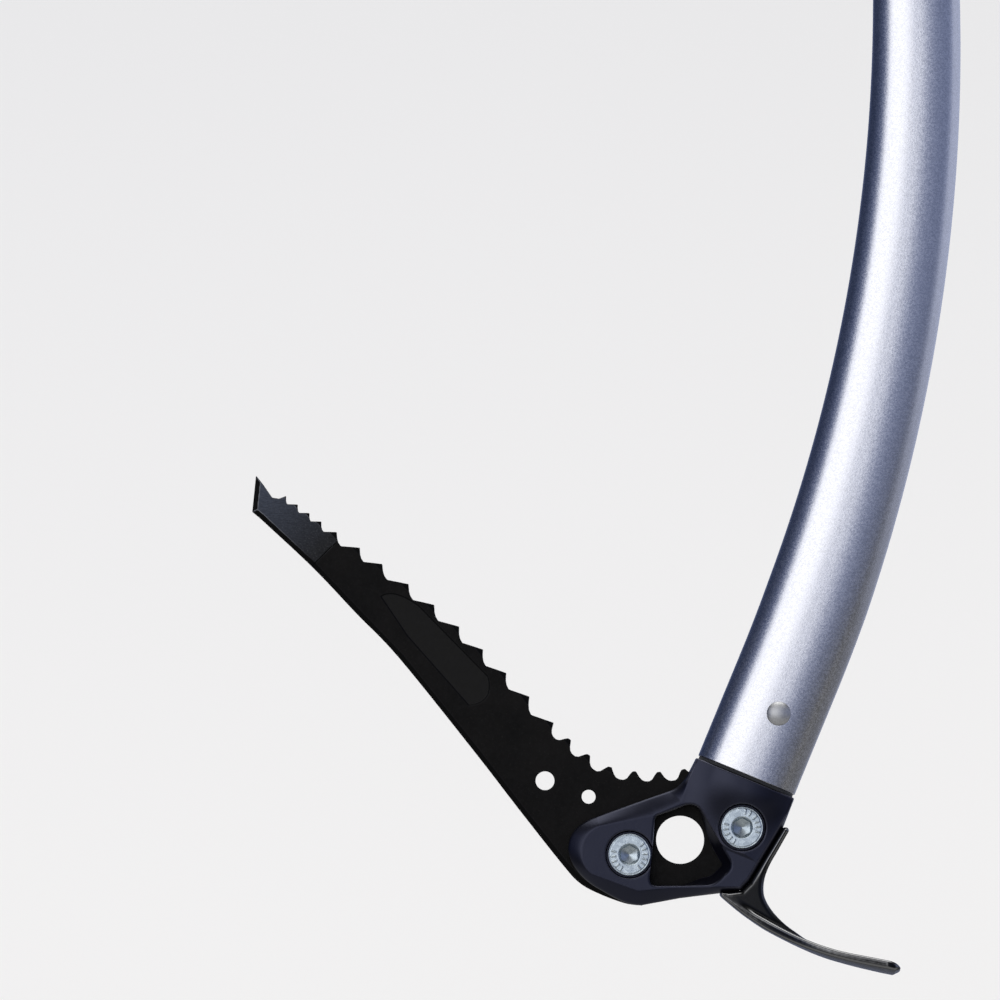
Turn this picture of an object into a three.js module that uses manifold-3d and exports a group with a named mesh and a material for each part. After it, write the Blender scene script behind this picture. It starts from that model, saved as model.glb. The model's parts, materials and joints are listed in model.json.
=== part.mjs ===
// A 50 cm technical ice axe, stored head down: curved aluminium shaft, modular steel head,
// toothed pick, adze, rubber grip with a sliding finger trigger, and a spike with a folding grip rest.
//
// Millimetres. The origin is the centre of the window in the head. +Z runs up the straight handle to
// the spike, -X is the pick's side (the front), +X the adze's side (the rear), and Y is the axe's
// thickness. The bolt heads face -Y.

import * as THREE from 'three';
import { mergeVertices } from 'three/addons/utils/BufferGeometryUtils.js';
import Module from 'manifold-3d';

const wasm = await Module();
wasm.setup();

// ---------------------------------------------------------------- driving dimensions

const GAP = 0.3; // clearance between touching pieces
const THROUGH = 30; // half the length of a cutter that goes right through
const TOTAL_LENGTH = 500; // lowest point of the head to the spike's tip

// Shaft centreline: a straight stub at the head, one arc, then the straight handle.
const COLLAR = { x: 19.25, z: 24.3 }; // where the tube meets the head, on the centreline
const HEAD_TILT = THREE.MathUtils.degToRad(22.5); // of the stub from the handle's direction
const STUB_LENGTH = 39;
const BEND_RADIUS = 600;
const SHAFT_HEAD = { halfWidth: 18.2, halfDepth: 12.2 }; // the section at the head end
const SHAFT_GRIP = { halfWidth: 15.25, halfDepth: 11.0 }; // the section at the handle
const TAPER = { from: 68, to: 283 }; // the section narrows between these distances from the collar
const SECTION_POWER = 2.6; // superellipse exponent of the tube's section
const SECTION_SIDES = 22;
const TUBE_WALL = 1.7;
const TUBE_END_Z = 436;

// Head
const CHEEK_HALF = 8.5; // half the thickness of the head at the bolts
const SLOT_HALF = 2.3; // half the width of the slot that takes the pick
const SLOT_TOP = -5; // the slot's end, as a distance along the shaft's axis from the collar
const TANG_LENGTH = 38;
const TANG_WALL = 3.2; // the tang is a cup, open to the tube
const TANG_FLOOR = 7; // the cup's floor, from the collar
const WINDOW_FLOOR_Z = -13.3;
const FRONT_BOLT = { x: -21.35, z: -2.45 };
const REAR_BOLT = { x: 18.0, z: 7.0 };
const BOLT = { headRadius: 7.45, headHeight: 3.1, shankRadius: 3.9, hexAcrossCorners: 6.9, hexDepth: 2.3 };
const COUNTERBORE_RADIUS = 8.3;
const NUT_SLEEVE_RADIUS = 5.4;
const NUT_SLEEVE_LENGTH = 2.4;
const BOLT_SUNK = 0.3; // bolt heads and nuts stop this far below the cheek's face
const SHANK_END_Y = 6.0;
const EYE_RADIUS = 7.5; // of the adze's eye round the rear bolt
const HEAD_RIVET = { u: 2, s: 25, radius: 3.0, domeRadius: 4.2, domeHeight: 1.7 };
const SEAL_HEIGHT = 0.8;

// Pick
const PICK_HALF = 2.0;
const PICK_TIP_HALF = 1.6; // the ground-down front
const PICK_HOLE = { x: -3.5, z: 2.8, radius: 8.4 }; // the carabiner hole, seen in the head's window
const WEIGHT_HOLES = [{ x: -50.75, z: 23.45, radius: 3.3 }, { x: -35.5, z: 17.85, radius: 2.45 }];

// Adze
const ADZE_ROOT_HALF = 8.0;
const ADZE_TIP_HALF = 27.0;
const ADZE_DISH = 1.8; // how far the blade's sides rise above its middle
const FLANGE_HALF = 8.5;

// Handle
const GRIP = { from: 325, to: 427, thickness: 2.6, fingers: 4, swell: 0.07 }; // swell as a share of u
const BAND_HEIGHT = 3;
const TRIGGER = { from: 302, height: 19, wall: 2.4, clearance: 0.75, reach: 27 };
const TRIGGER_EAR = { from: 16.5, to: 26, half: 5.2, height: 12, slitHalf: 0.8 };
const TRIGGER_SCREW = { u: 22.4, radius: 1.9, headRadius: 3.4, seatHalf: 3.4, hexAcrossCorners: 3.4 };
const PAD = { thickness: 2.0, side: 12 };
const FERRULE = { to: 440, wall: 3.0 };
const REST_PIN = { x: 56, z: 433.5, radius: 1.6 };
const REST = { reach: 32, knuckleRadius: 3.9, knuckleHalf: 5.0, half: 8.8 };
const PIN_HEAD_RADIUS = 2.9;
const LUG = { inner: REST.knuckleHalf + 1.4, outer: 9.6, radius: 5 };
const SPIKE = { half: 2.2, rootHalf: 11.5, holeZ: 452, holeRadius: 4.6, tangTo: 398 };
const SPIKE_RIVETS_Z = [406, 418];
const SPIKE_RIVET = { radius: 2.4, domeRadius: 3.6, domeHeight: 1.2, gripHole: 4.0 };

const HANDLE_X = COLLAR.x + STUB_LENGTH * Math.sin(HEAD_TILT) + BEND_RADIUS * (1 - Math.cos(HEAD_TILT));
const BEND_END_Z = COLLAR.z + STUB_LENGTH * Math.cos(HEAD_TILT) + BEND_RADIUS * Math.sin(HEAD_TILT);
const BEND_LENGTH = BEND_RADIUS * HEAD_TILT;
const TUBE_LENGTH = STUB_LENGTH + BEND_LENGTH + TUBE_END_Z - BEND_END_Z;
const HEAD_LOWEST_Z = -20.6;
const SPIKE_TIP_Z = HEAD_LOWEST_Z + TOTAL_LENGTH;
const TUBE_START = 2 * GAP + SEAL_HEIGHT;
const TRIGGER_MID_Z = TRIGGER.from + TRIGGER.height / 2;

// ---------------------------------------------------------------- materials

function finish(color, roughness, metalness) {
  return new THREE.MeshStandardMaterial({ color, roughness, metalness });
}
const aluminium = finish(0xb9bbbe, 0.34, 1.0);
const rivetMetal = finish(0xb4b3ae, 0.35, 1.0);
const headPaint = finish(0x17161b, 0.45, 0.3);
const pickSteel = finish(0x15120f, 0.55, 0.6);
const adzePaint = finish(0x0b0b0c, 0.2, 0.3);
const zinc = finish(0xbcc4c6, 0.35, 1.0);
const rubber = finish(0x1d1e20, 0.85, 0.0);
const moulded = finish(0x232427, 0.6, 0.0);
const spikeSteel = finish(0x8d8f92, 0.35, 1.0);
const foam = finish(0x3a3b3d, 0.9, 0.0);

// ---------------------------------------------------------------- solids and booleans

function solid(geometry) {
  const plain = geometry.index ? geometry.toNonIndexed() : geometry.clone();
  plain.deleteAttribute('normal');
  plain.deleteAttribute('uv');
  const merged = mergeVertices(plain, 1e-4);
  return new wasm.Manifold(new wasm.Mesh({
    numProp: 3,
    vertProperties: Float32Array.from(merged.attributes.position.array),
    triVerts: Uint32Array.from(merged.index.array),
  }));
}

const joined = (first, ...rest) => rest.reduce((all, next) => all.add(next), first);
const cut = (first, ...rest) => rest.reduce((left, next) => left.subtract(next), first);

function meshOf(name, body, material) {
  const { vertProperties, triVerts } = body.getMesh();
  const geometry = new THREE.BufferGeometry();
  geometry.setAttribute('position', new THREE.BufferAttribute(Float32Array.from(vertProperties), 3));
  geometry.setIndex(new THREE.BufferAttribute(Uint32Array.from(triVerts), 1));
  const flat = geometry.toNonIndexed();
  flat.computeVertexNormals();
  const mesh = new THREE.Mesh(flat, material);
  mesh.name = name;
  return mesh;
}

// Moves each vertex of a geometry by a rule.
function mapped(geometry, rule) {
  const position = geometry.attributes.position;
  for (let i = 0; i < position.count; i += 1) {
    const [x, y, z] = rule(position.getX(i), position.getY(i), position.getZ(i));
    position.setXYZ(i, x, y, z);
  }
  return geometry;
}

// A shape drawn in the X-Z plane, made into a plate from y = -half to y = +half.
function plate(shape, half, { bevel = 0, curveSegments = 5, steps = 1 } = {}) {
  const geometry = new THREE.ExtrudeGeometry(shape, {
    depth: 2 * (half - bevel), steps, curveSegments,
    bevelEnabled: bevel > 0, bevelThickness: bevel, bevelSize: bevel, bevelOffset: -bevel, bevelSegments: 1,
  });
  geometry.translate(0, 0, bevel - half);
  geometry.rotateX(Math.PI / 2);
  return geometry;
}

function polygon(points) {
  return new THREE.Shape(points.map(([x, z]) => new THREE.Vector2(x, z)));
}

// A cylinder along Y between two values of y.
function bar(x, z, radius, fromY, toY, sides = 22) {
  const geometry = new THREE.CylinderGeometry(radius, radius, toY - fromY, sides);
  geometry.translate(x, (fromY + toY) / 2, z);
  return solid(geometry);
}

// ---------------------------------------------------------------- shaft coordinates

// u is across the shaft (rear positive), v is along Y and s is the distance from the collar.
function onShaft(u, v, s) {
  if (s <= STUB_LENGTH) {
    return [
      COLLAR.x + s * Math.sin(HEAD_TILT) + u * Math.cos(HEAD_TILT), v,
      COLLAR.z + s * Math.cos(HEAD_TILT) - u * Math.sin(HEAD_TILT),
    ];
  }
  if (s >= STUB_LENGTH + BEND_LENGTH) {
    return [HANDLE_X + u, v, BEND_END_Z + s - STUB_LENGTH - BEND_LENGTH];
  }
  const angle = HEAD_TILT - (s - STUB_LENGTH) / BEND_RADIUS;
  const radius = BEND_RADIUS + u;
  return [HANDLE_X - BEND_RADIUS + radius * Math.cos(angle), v, BEND_END_Z - radius * Math.sin(angle)];
}

function taperAt(s) {
  return THREE.MathUtils.clamp((s - TAPER.from) / (TAPER.to - TAPER.from), 0, 1);
}

function sectionAt(s, inset) {
  return {
    a: THREE.MathUtils.lerp(SHAFT_HEAD.halfWidth, SHAFT_GRIP.halfWidth, taperAt(s)) - inset,
    b: THREE.MathUtils.lerp(SHAFT_HEAD.halfDepth, SHAFT_GRIP.halfDepth, taperAt(s)) - inset,
  };
}

function superellipse() {
  const points = [];
  for (let i = 0; i < SECTION_SIDES; i += 1) {
    const angle = (2 * Math.PI * (i + 0.5)) / SECTION_SIDES;
    const power = 2 / SECTION_POWER;
    points.push(new THREE.Vector2(
      Math.sign(Math.cos(angle)) * Math.abs(Math.cos(angle)) ** power,
      Math.sign(Math.sin(angle)) * Math.abs(Math.sin(angle)) ** power,
    ));
  }
  return new THREE.Shape(points);
}

// A solid of the tube's section, inset by some distance (negative is proud), from s to s.
function alongShaft(inset, from, to, steps = 1, shapeU = (u) => u) {
  const geometry = new THREE.ExtrudeGeometry(superellipse(), { depth: to - from, steps, bevelEnabled: false });
  return solid(mapped(geometry, (x, y, z) => {
    const s = from + z;
    const { a, b } = sectionAt(s, inset);
    return onShaft(shapeU(x * a, s), y * b, s);
  }));
}

const atHandle = (z) => z - BEND_END_Z + STUB_LENGTH + BEND_LENGTH; // height on the handle to distance s

// ---------------------------------------------------------------- fasteners

// A domed rivet along Y through the middle of the shaft.
function rivet(x, z, faceHalf, radius, domeRadius, domeHeight) {
  const outer = faceHalf + GAP / 2;
  const profile = [new THREE.Vector2(0, -outer - domeHeight)];
  const domeSteps = 3;
  for (let i = 1; i <= domeSteps; i += 1) {
    const angle = (Math.PI / 2) * (i / domeSteps);
    profile.push(new THREE.Vector2(domeRadius * Math.sin(angle), -outer - domeHeight * Math.cos(angle)));
  }
  profile.push(new THREE.Vector2(radius, -outer));
  const mirrored = profile.slice().reverse().map((p) => new THREE.Vector2(p.x, -p.y));
  const geometry = new THREE.LatheGeometry([...profile, ...mirrored], 16);
  geometry.translate(x, 0, z);
  return solid(geometry);
}

function hexSocket(x, z, fromY, toY, acrossCorners) {
  return bar(x, z, acrossCorners / 2, fromY, toY, 6);
}

// Bolt from the -Y side: round head in the counterbore, hex socket, plain shank.
function headBolt({ x, z }) {
  const outer = -CHEEK_HALF + BOLT_SUNK;
  const inner = outer + BOLT.headHeight;
  return cut(
    joined(bar(x, z, BOLT.headRadius, outer, inner), bar(x, z, BOLT.shankRadius, inner - 1, SHANK_END_Y)),
    hexSocket(x, z, outer - 1, outer + BOLT.hexDepth, BOLT.hexAcrossCorners),
  );
}

// Flanged barrel nut on the +Y side, with a blind bore for the bolt's end.
function barrelNut({ x, z }) {
  const outer = CHEEK_HALF - BOLT_SUNK;
  const inner = outer - BOLT.headHeight;
  return cut(
    joined(
      bar(x, z, BOLT.headRadius, inner, outer),
      bar(x, z, NUT_SLEEVE_RADIUS, inner - NUT_SLEEVE_LENGTH, inner + 1),
    ),
    bar(x, z, BOLT.shankRadius + GAP, inner - 3, SHANK_END_Y + GAP),
    hexSocket(x, z, outer - 1.2, outer + 1, BOLT.hexAcrossCorners),
  );
}

function boltHoles({ x, z }) {
  const seat = CHEEK_HALF - BOLT_SUNK - BOLT.headHeight - GAP;
  return joined(
    bar(x, z, BOLT.shankRadius + GAP, -THROUGH, THROUGH),
    bar(x, z, COUNTERBORE_RADIUS, -THROUGH, -seat),
    bar(x, z, COUNTERBORE_RADIUS, seat, THROUGH),
    bar(x, z, NUT_SLEEVE_RADIUS + GAP, seat - NUT_SLEEVE_LENGTH - GAP, THROUGH),
  );
}

// ---------------------------------------------------------------- head

function headOutline() {
  const [frontX, , frontZ] = onShaft(-SHAFT_HEAD.halfWidth, 0, 0);
  const [rearX, , rearZ] = onShaft(SHAFT_HEAD.halfWidth, 0, 0);
  const shape = new THREE.Shape();
  shape.moveTo(frontX, frontZ);
  shape.bezierCurveTo(-1, 24.6, -3.2, 21, -8, 19.6);
  shape.lineTo(-31.5, 11.4);
  shape.bezierCurveTo(-40, 8.6, -42.7, 4.6, -42.7, -0.7);
  shape.bezierCurveTo(-42.2, -6.6, -37, -12, -31.5, -14.7);
  shape.bezierCurveTo(-26.5, -17.6, -21.5, HEAD_LOWEST_Z, -16.5, HEAD_LOWEST_Z + 0.6);
  shape.lineTo(-3.5, -17.6);
  shape.lineTo(17.6, -15.0);
  shape.lineTo(20.7, -11.9);
  shape.lineTo(32.1, 7.0);
  shape.lineTo(rearX, rearZ);
  return shape;
}

function headWindow() {
  const shape = new THREE.Shape();
  shape.moveTo(-10.6, 11.6);
  shape.lineTo(-1.6, 14.9);
  shape.quadraticCurveTo(1.9, 15.6, 3.6, 12.8);
  shape.lineTo(13.6, -4.0);
  shape.quadraticCurveTo(15.2, -7.4, 11.9, -9.5);
  shape.quadraticCurveTo(8.9, WINDOW_FLOOR_Z, 5.2, WINDOW_FLOOR_Z);
  shape.lineTo(-11.6, WINDOW_FLOOR_Z);
  shape.quadraticCurveTo(-14.6, WINDOW_FLOOR_Z, -14.2, -10.2);
  shape.lineTo(-12.6, 9.4);
  shape.quadraticCurveTo(-12.2, 11.4, -10.6, 11.6);
  return shape;
}

// Everything below the collar block and above the bar that closes the fork.
function headSlot() {
  const rear = onShaft(60, 0, SLOT_TOP);
  const front = onShaft(-120, 0, SLOT_TOP);
  const barTop = WINDOW_FLOOR_Z - 0.7;
  return polygon([
    [front[0], front[2]], [rear[0], rear[2]], [80, barTop], [-15.6, barTop], [-16.4, -40], [-90, -40],
  ]);
}

// The block that runs from the tube's section at the collar down into the cheeks.
function collarBlock() {
  const collarBottom = -24;
  return solid(mapped(
    new THREE.ExtrudeGeometry(superellipse(), { depth: -collarBottom, steps: 5, bevelEnabled: false }),
    (x, y, z) => {
      const s = z + collarBottom;
      const blend = THREE.MathUtils.smoothstep(-s, 4, -collarBottom);
      const depth = THREE.MathUtils.lerp(SHAFT_HEAD.halfDepth, CHEEK_HALF, blend);
      return onShaft(x * SHAFT_HEAD.halfWidth, y * depth, s);
    },
  ));
}

// The hollow tang that the tube slides over.
function headTang() {
  return cut(
    alongShaft(TUBE_WALL + GAP, -2, TANG_LENGTH, 2),
    alongShaft(TUBE_WALL + GAP + TANG_WALL, TANG_FLOOR, TANG_LENGTH + 2, 2),
  );
}

function head() {
  const cheeks = solid(plate(headOutline(), CHEEK_HALF, { bevel: 1.6 }));
  const withinOutline = solid(plate(headOutline(), SHAFT_HEAD.halfDepth + 1));
  return cut(
    joined(cheeks, collarBlock().intersect(withinOutline), headTang()),
    solid(plate(headSlot(), SLOT_HALF)),
    solid(plate(headWindow(), THROUGH)),
    boltHoles(FRONT_BOLT),
    boltHoles(REAR_BOLT),
    headRivetHole(),
  );
}

function headRivetPlace() {
  const [x, , z] = onShaft(HEAD_RIVET.u, 0, HEAD_RIVET.s);
  return { x, z };
}

function headRivetHole() {
  const { x, z } = headRivetPlace();
  return bar(x, z, HEAD_RIVET.radius + GAP, -THROUGH, THROUGH);
}

function headRivet() {
  const { x, z } = headRivetPlace();
  return rivet(x, z, SHAFT_HEAD.halfDepth, HEAD_RIVET.radius, HEAD_RIVET.domeRadius, HEAD_RIVET.domeHeight);
}

function headSeal() {
  return cut(
    alongShaft(0.35, GAP, GAP + SEAL_HEIGHT),
    alongShaft(TUBE_WALL, -1, 3),
  );
}

// ---------------------------------------------------------------- pick

// The line through the tips of the teeth, from the front tooth to the head.
const toothLine = new THREE.SplineCurve([
  [-141.4, 123.2], [-129.2, 114.3], [-107.8, 99.4], [-82.3, 78.8], [-56.3, 53.0],
  [-41.6, 37.6], [-27.6, 28.2], [-11.2, 26.6], [-1.8, 27.6],
].map(([x, z]) => new THREE.Vector2(x, z)));

// Groups of teeth: how many, their share of the line and where their gullet lies within a pitch.
const TOOTH_GROUPS = [
  { count: 3, pitch: 5.05, gullet: [0.2, 0.52], depth: 1.9 },
  { count: 1, pitch: 6.5, gullet: [0.18, 0.5], depth: 2.2 },
  { count: 2, pitch: 9.7, gullet: [0.2, 0.53], depth: 2.5 },
  { count: 7, pitch: 11.5, gullet: [0.24, 0.53], depth: 2.7 },
  { count: 6, pitch: 8.7, gullet: [0.3, 0.68], depth: 2.8, shoulder: 0.78 },
];

// The points of the toothed edge: each tooth's tip, then its gullet.
function toothEdge() {
  const length = toothLine.getLength();
  const gaps = TOOTH_GROUPS.flatMap((group) => Array(group.count).fill(group));
  const total = gaps.reduce((sum, gap) => sum + gap.pitch, 0);
  const points = [];
  let travelled = 0;
  for (const gap of gaps) {
    const pitch = (gap.pitch * length) / total;
    const inward = (share, depth) => {
      const at = (travelled + share * pitch) / length;
      const point = toothLine.getPointAt(at);
      const along = toothLine.getTangentAt(at);
      return new THREE.Vector2(point.x - depth * -along.y, point.y - depth * along.x);
    };
    points.push(inward(0, 0));
    points.push(inward(gap.gullet[0], 0.75 * gap.depth));
    points.push(inward(gap.gullet[1], gap.depth));
    if (gap.shoulder) points.push(inward(gap.shoulder, 0.35));
    travelled += pitch;
  }
  points.push(toothLine.getPointAt(1));
  return points;
}

function pickOutline() {
  const shape = new THREE.Shape();
  shape.moveTo(-151.7, 129.9); // the tip
  shape.lineTo(-149.4, 127.1);
  shape.lineTo(-146.3, 122.6);
  shape.lineTo(-143.9, 122.2);
  toothEdge().forEach((point) => shape.lineTo(point.x, point.y));
  // into the head: along the slot's end, round the adze's eye, and back over the fork's bar
  const clear = SLOT_TOP - GAP - 0.1;
  const [, , topZ] = onShaft(-18, 0, clear);
  shape.lineTo(0.6, Math.min(25.6, topZ));
  const [seatX, , seatZ] = onShaft(-7, 0, clear);
  shape.lineTo(seatX, seatZ);
  shape.absarc(REAR_BOLT.x, REAR_BOLT.z, EYE_RADIUS + GAP, 2.05, 4.15, false);
  shape.lineTo(12.2, WINDOW_FLOOR_Z - 0.3);
  shape.lineTo(-15.9, WINDOW_FLOOR_Z - 0.3);
  shape.lineTo(-16.7, -20.2);
  shape.splineThru([
    [-22.75, -19.4], [-31.5, -16.2], [-38.5, -12.4], [-44.5, -6.0], [-60, 13.6], [-75.6, 33.8],
    [-101.9, 66.5], [-117, 82.2], [-132, 98.0], [-150.5, 115.3],
  ].map(([x, z]) => new THREE.Vector2(x, z)));
  shape.lineTo(-153.3, 117.6);
  return shape;
}

function pick() {
  const body = solid(plate(pickOutline(), PICK_HALF, { curveSegments: 3 }));
  // in front of the step the plate is ground down on both faces
  const ground = polygon([
    [-122.5, 104.6], [-127.5, 98.8], [-140, 90], [-170, 110], [-160, 140], [-130, 130], [-119, 110],
  ]);
  const faces = [1, -1].map((side) => {
    const slab = plate(ground, 3);
    slab.translate(0, side * (PICK_TIP_HALF + 3), 0);
    return solid(slab);
  });
  return cut(
    body,
    ...faces,
    bar(PICK_HOLE.x, PICK_HOLE.z, PICK_HOLE.radius, -THROUGH, THROUGH, 32),
    bar(FRONT_BOLT.x, FRONT_BOLT.z, BOLT.shankRadius + GAP, -THROUGH, THROUGH),
    ...WEIGHT_HOLES.map(({ x, z, radius }) => bar(x, z, radius, -THROUGH, THROUGH, 16)),
  );
}

// ---------------------------------------------------------------- adze

// The blade from the side, before its middle is dished downwards.
function bladeProfile() {
  const shape = new THREE.Shape();
  shape.moveTo(11.4, -16.4);
  shape.bezierCurveTo(24, -24.2, 38, -31.6, 52.5, -35.6);
  shape.bezierCurveTo(58, -37, 63, -37.9, 68.2, -39.2);
  shape.quadraticCurveTo(71.6, -39.8, 72.9, -41.6);
  shape.lineTo(70.6, -42.7);
  shape.bezierCurveTo(54, -39.4, 39, -34.9, 26.4, -28.6);
  shape.bezierCurveTo(20, -25, 15.4, -21.2, 11.0, -17.2);
  return shape;
}

// Flange against the head's rear and the fillets that run from it into the blade.
function neckProfile() {
  const shape = new THREE.Shape();
  shape.moveTo(12.4, -17.3);
  shape.lineTo(17.9, -15.5);
  shape.lineTo(21.1, -12.3);
  shape.lineTo(32.6, 6.8);
  shape.quadraticCurveTo(34.2, 7.6, 34.4, 5.8);
  shape.lineTo(29.9, -2.1);
  shape.bezierCurveTo(26.2, -8, 25.0, -12, 25.6, -16.4);
  shape.bezierCurveTo(26.4, -20, 30, -25, 36.5, -29.4);
  shape.lineTo(34, -31);
  shape.lineTo(20, -23);
  return shape;
}

// Seen from above: a narrow root, then a flared blade with rounded corners.
function bladePlan() {
  const shape = new THREE.Shape();
  shape.moveTo(10, -ADZE_ROOT_HALF);
  shape.bezierCurveTo(26, -ADZE_ROOT_HALF - 1, 34, -17, 42, -20.5);
  shape.lineTo(68, -ADZE_TIP_HALF);
  shape.quadraticCurveTo(72.4, -ADZE_TIP_HALF, 73.2, -ADZE_TIP_HALF + 5);
  shape.quadraticCurveTo(74.8, 0, 73.2, ADZE_TIP_HALF - 5);
  shape.quadraticCurveTo(72.4, ADZE_TIP_HALF, 68, ADZE_TIP_HALF);
  shape.lineTo(42, 20.5);
  shape.bezierCurveTo(34, 17, 26, ADZE_ROOT_HALF + 1, 10, ADZE_ROOT_HALF);
  return shape;
}

function adze() {
  const strip = plate(bladeProfile(), ADZE_TIP_HALF, { curveSegments: 6, steps: 8 });
  const dished = mapped(strip, (x, y, z) => {
    const reach = THREE.MathUtils.smoothstep(x, 20, 50);
    return [x, y, z - reach * ADZE_DISH * (1 - (y / ADZE_TIP_HALF) ** 2)];
  });
  const plan = new THREE.ExtrudeGeometry(bladePlan(), { depth: 60, bevelEnabled: false, curveSegments: 6 });
  plan.translate(0, 0, -70);
  const blade = solid(dished).intersect(solid(plan));
  const neck = solid(plate(neckProfile(), FLANGE_HALF, { curveSegments: 6 }));
  const tongue = joined(
    bar(REAR_BOLT.x, REAR_BOLT.z, EYE_RADIUS, -PICK_HALF, PICK_HALF),
    solid(plate(polygon([[18, 14.4], [31, 8], [33, 6], [22.6, -11.2], [18, -0.4]]), PICK_HALF)),
  );
  return cut(
    joined(blade, neck, tongue),
    bar(REAR_BOLT.x, REAR_BOLT.z, BOLT.shankRadius + GAP, -THROUGH, THROUGH),
  );
}

// ---------------------------------------------------------------- shaft

function spikeRivetHole(z) {
  return bar(HANDLE_X, z, SPIKE_RIVET.radius + GAP, -THROUGH, THROUGH, 16);
}

function shaftTube() {
  const steps = 18;
  return cut(
    alongShaft(0, TUBE_START, TUBE_LENGTH, steps),
    alongShaft(TUBE_WALL, TUBE_START - 2, TUBE_LENGTH + 2, steps),
    headRivetHole(),
    ...SPIKE_RIVETS_Z.map(spikeRivetHole),
  );
}

function tubePlug() {
  return alongShaft(TUBE_WALL + GAP, TANG_LENGTH + 6, TANG_LENGTH + 20, 2);
}

// ---------------------------------------------------------------- grip

function gripBand() {
  return cut(
    alongShaft(-GRIP.thickness - 0.4, atHandle(GRIP.from - GAP - BAND_HEIGHT), atHandle(GRIP.from - GAP)),
    alongShaft(-GAP, atHandle(GRIP.from - 10), atHandle(GRIP.from + 10)),
  );
}

function gripSleeve() {
  const from = atHandle(GRIP.from);
  const to = atHandle(GRIP.to);
  const wave = (s) => 0.5 - 0.5 * Math.cos((2 * Math.PI * GRIP.fingers * (s - from)) / (to - from));
  const swollen = (u, s) => (u < 0 ? u * (1 + GRIP.swell * wave(s)) : u);
  const outer = alongShaft(-GRIP.thickness, from, to, 16, swollen);
  return cut(
    outer,
    alongShaft(-GAP, from - 2, to + 2),
    ...SPIKE_RIVETS_Z.map((z) => bar(HANDLE_X, z, SPIKE_RIVET.gripHole, -THROUGH, THROUGH, 16)),
  );
}

// ---------------------------------------------------------------- trigger

// The spur that the index finger hooks over, seen from the side, in front of the shaft.
function spurProfile() {
  const root = -SHAFT_GRIP.halfWidth - TRIGGER.clearance - TRIGGER.wall + 1.2;
  const tip = root - TRIGGER.reach;
  const top = TRIGGER.from + TRIGGER.height;
  const shape = new THREE.Shape();
  shape.moveTo(HANDLE_X + root, top - 1);
  shape.bezierCurveTo(HANDLE_X + root - 6, top - 3, HANDLE_X + tip + 10, top - 5, HANDLE_X + tip + 2, top - 9);
  shape.quadraticCurveTo(HANDLE_X + tip - 2.5, top - 12.5, HANDLE_X + tip, top - 17);
  shape.quadraticCurveTo(HANDLE_X + tip + 3, top - 19.4, HANDLE_X + tip + 6, top - 16.4);
  shape.bezierCurveTo(HANDLE_X + tip + 11, top - 10.5, HANDLE_X + root - 7, top - 12, HANDLE_X + root, top - 18);
  return shape;
}

function triggerBody() {
  const from = atHandle(TRIGGER.from);
  const to = from + TRIGGER.height;
  const ears = new THREE.BoxGeometry(
    TRIGGER_EAR.to - TRIGGER_EAR.from, 2 * TRIGGER_EAR.half, TRIGGER_EAR.height,
  );
  ears.translate(HANDLE_X + (TRIGGER_EAR.from + TRIGGER_EAR.to) / 2, 0, TRIGGER_MID_Z);
  const slit = new THREE.BoxGeometry(20, 2 * TRIGGER_EAR.slitHalf, 2 * THROUGH);
  slit.translate(HANDLE_X + 25, 0, TRIGGER_MID_Z);
  const screwX = HANDLE_X + TRIGGER_SCREW.u;
  const seatRadius = TRIGGER_SCREW.headRadius + GAP;
  return cut(
    joined(
      alongShaft(-TRIGGER.clearance - TRIGGER.wall, from, to),
      solid(ears),
      solid(plate(spurProfile(), 5.5, { bevel: 1.2, curveSegments: 6 })),
    ),
    alongShaft(-TRIGGER.clearance, from - 2, to + 2),
    padPocket(0),
    solid(slit),
    bar(screwX, TRIGGER_MID_Z, TRIGGER_SCREW.radius + GAP, -THROUGH, THROUGH, 16),
    bar(screwX, TRIGGER_MID_Z, seatRadius, -THROUGH, -TRIGGER_SCREW.seatHalf, 16),
    bar(screwX, TRIGGER_MID_Z, seatRadius, TRIGGER_SCREW.seatHalf, THROUGH, 16),
  );
}

// The pocket in the clamp's front wall, and by inset the friction pad in it.
function padPocket(inset) {
  const side = PAD.side - 2 * inset;
  const block = new THREE.BoxGeometry(PAD.thickness - inset, side, side);
  const middle = SHAFT_GRIP.halfWidth + (PAD.thickness + TRIGGER.clearance) / 2;
  block.translate(HANDLE_X - middle, 0, TRIGGER_MID_Z);
  return solid(block);
}

function triggerPad() {
  const bearing = alongShaft(-1.5 * GAP, atHandle(TRIGGER.from - 5), atHandle(TRIGGER.from + 30));
  return cut(padPocket(GAP), bearing);
}

function triggerScrew() {
  const x = HANDLE_X + TRIGGER_SCREW.u;
  const seat = TRIGGER_SCREW.seatHalf + GAP;
  return cut(
    joined(
      bar(x, TRIGGER_MID_Z, TRIGGER_SCREW.headRadius, -TRIGGER_EAR.half - 0.2, -seat, 16),
      bar(x, TRIGGER_MID_Z, TRIGGER_SCREW.radius, -seat - GAP, TRIGGER_EAR.half - 0.2, 16),
    ),
    hexSocket(x, TRIGGER_MID_Z, -TRIGGER_EAR.half - 1, -seat - 0.4, TRIGGER_SCREW.hexAcrossCorners),
  );
}

function triggerNut() {
  const x = HANDLE_X + TRIGGER_SCREW.u;
  return cut(
    bar(x, TRIGGER_MID_Z, TRIGGER_SCREW.headRadius, TRIGGER_SCREW.seatHalf + GAP, TRIGGER_EAR.half + 0.2, 6),
    bar(x, TRIGGER_MID_Z, TRIGGER_SCREW.radius + GAP, 0, THROUGH, 16),
  );
}

// ---------------------------------------------------------------- spike end

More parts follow.
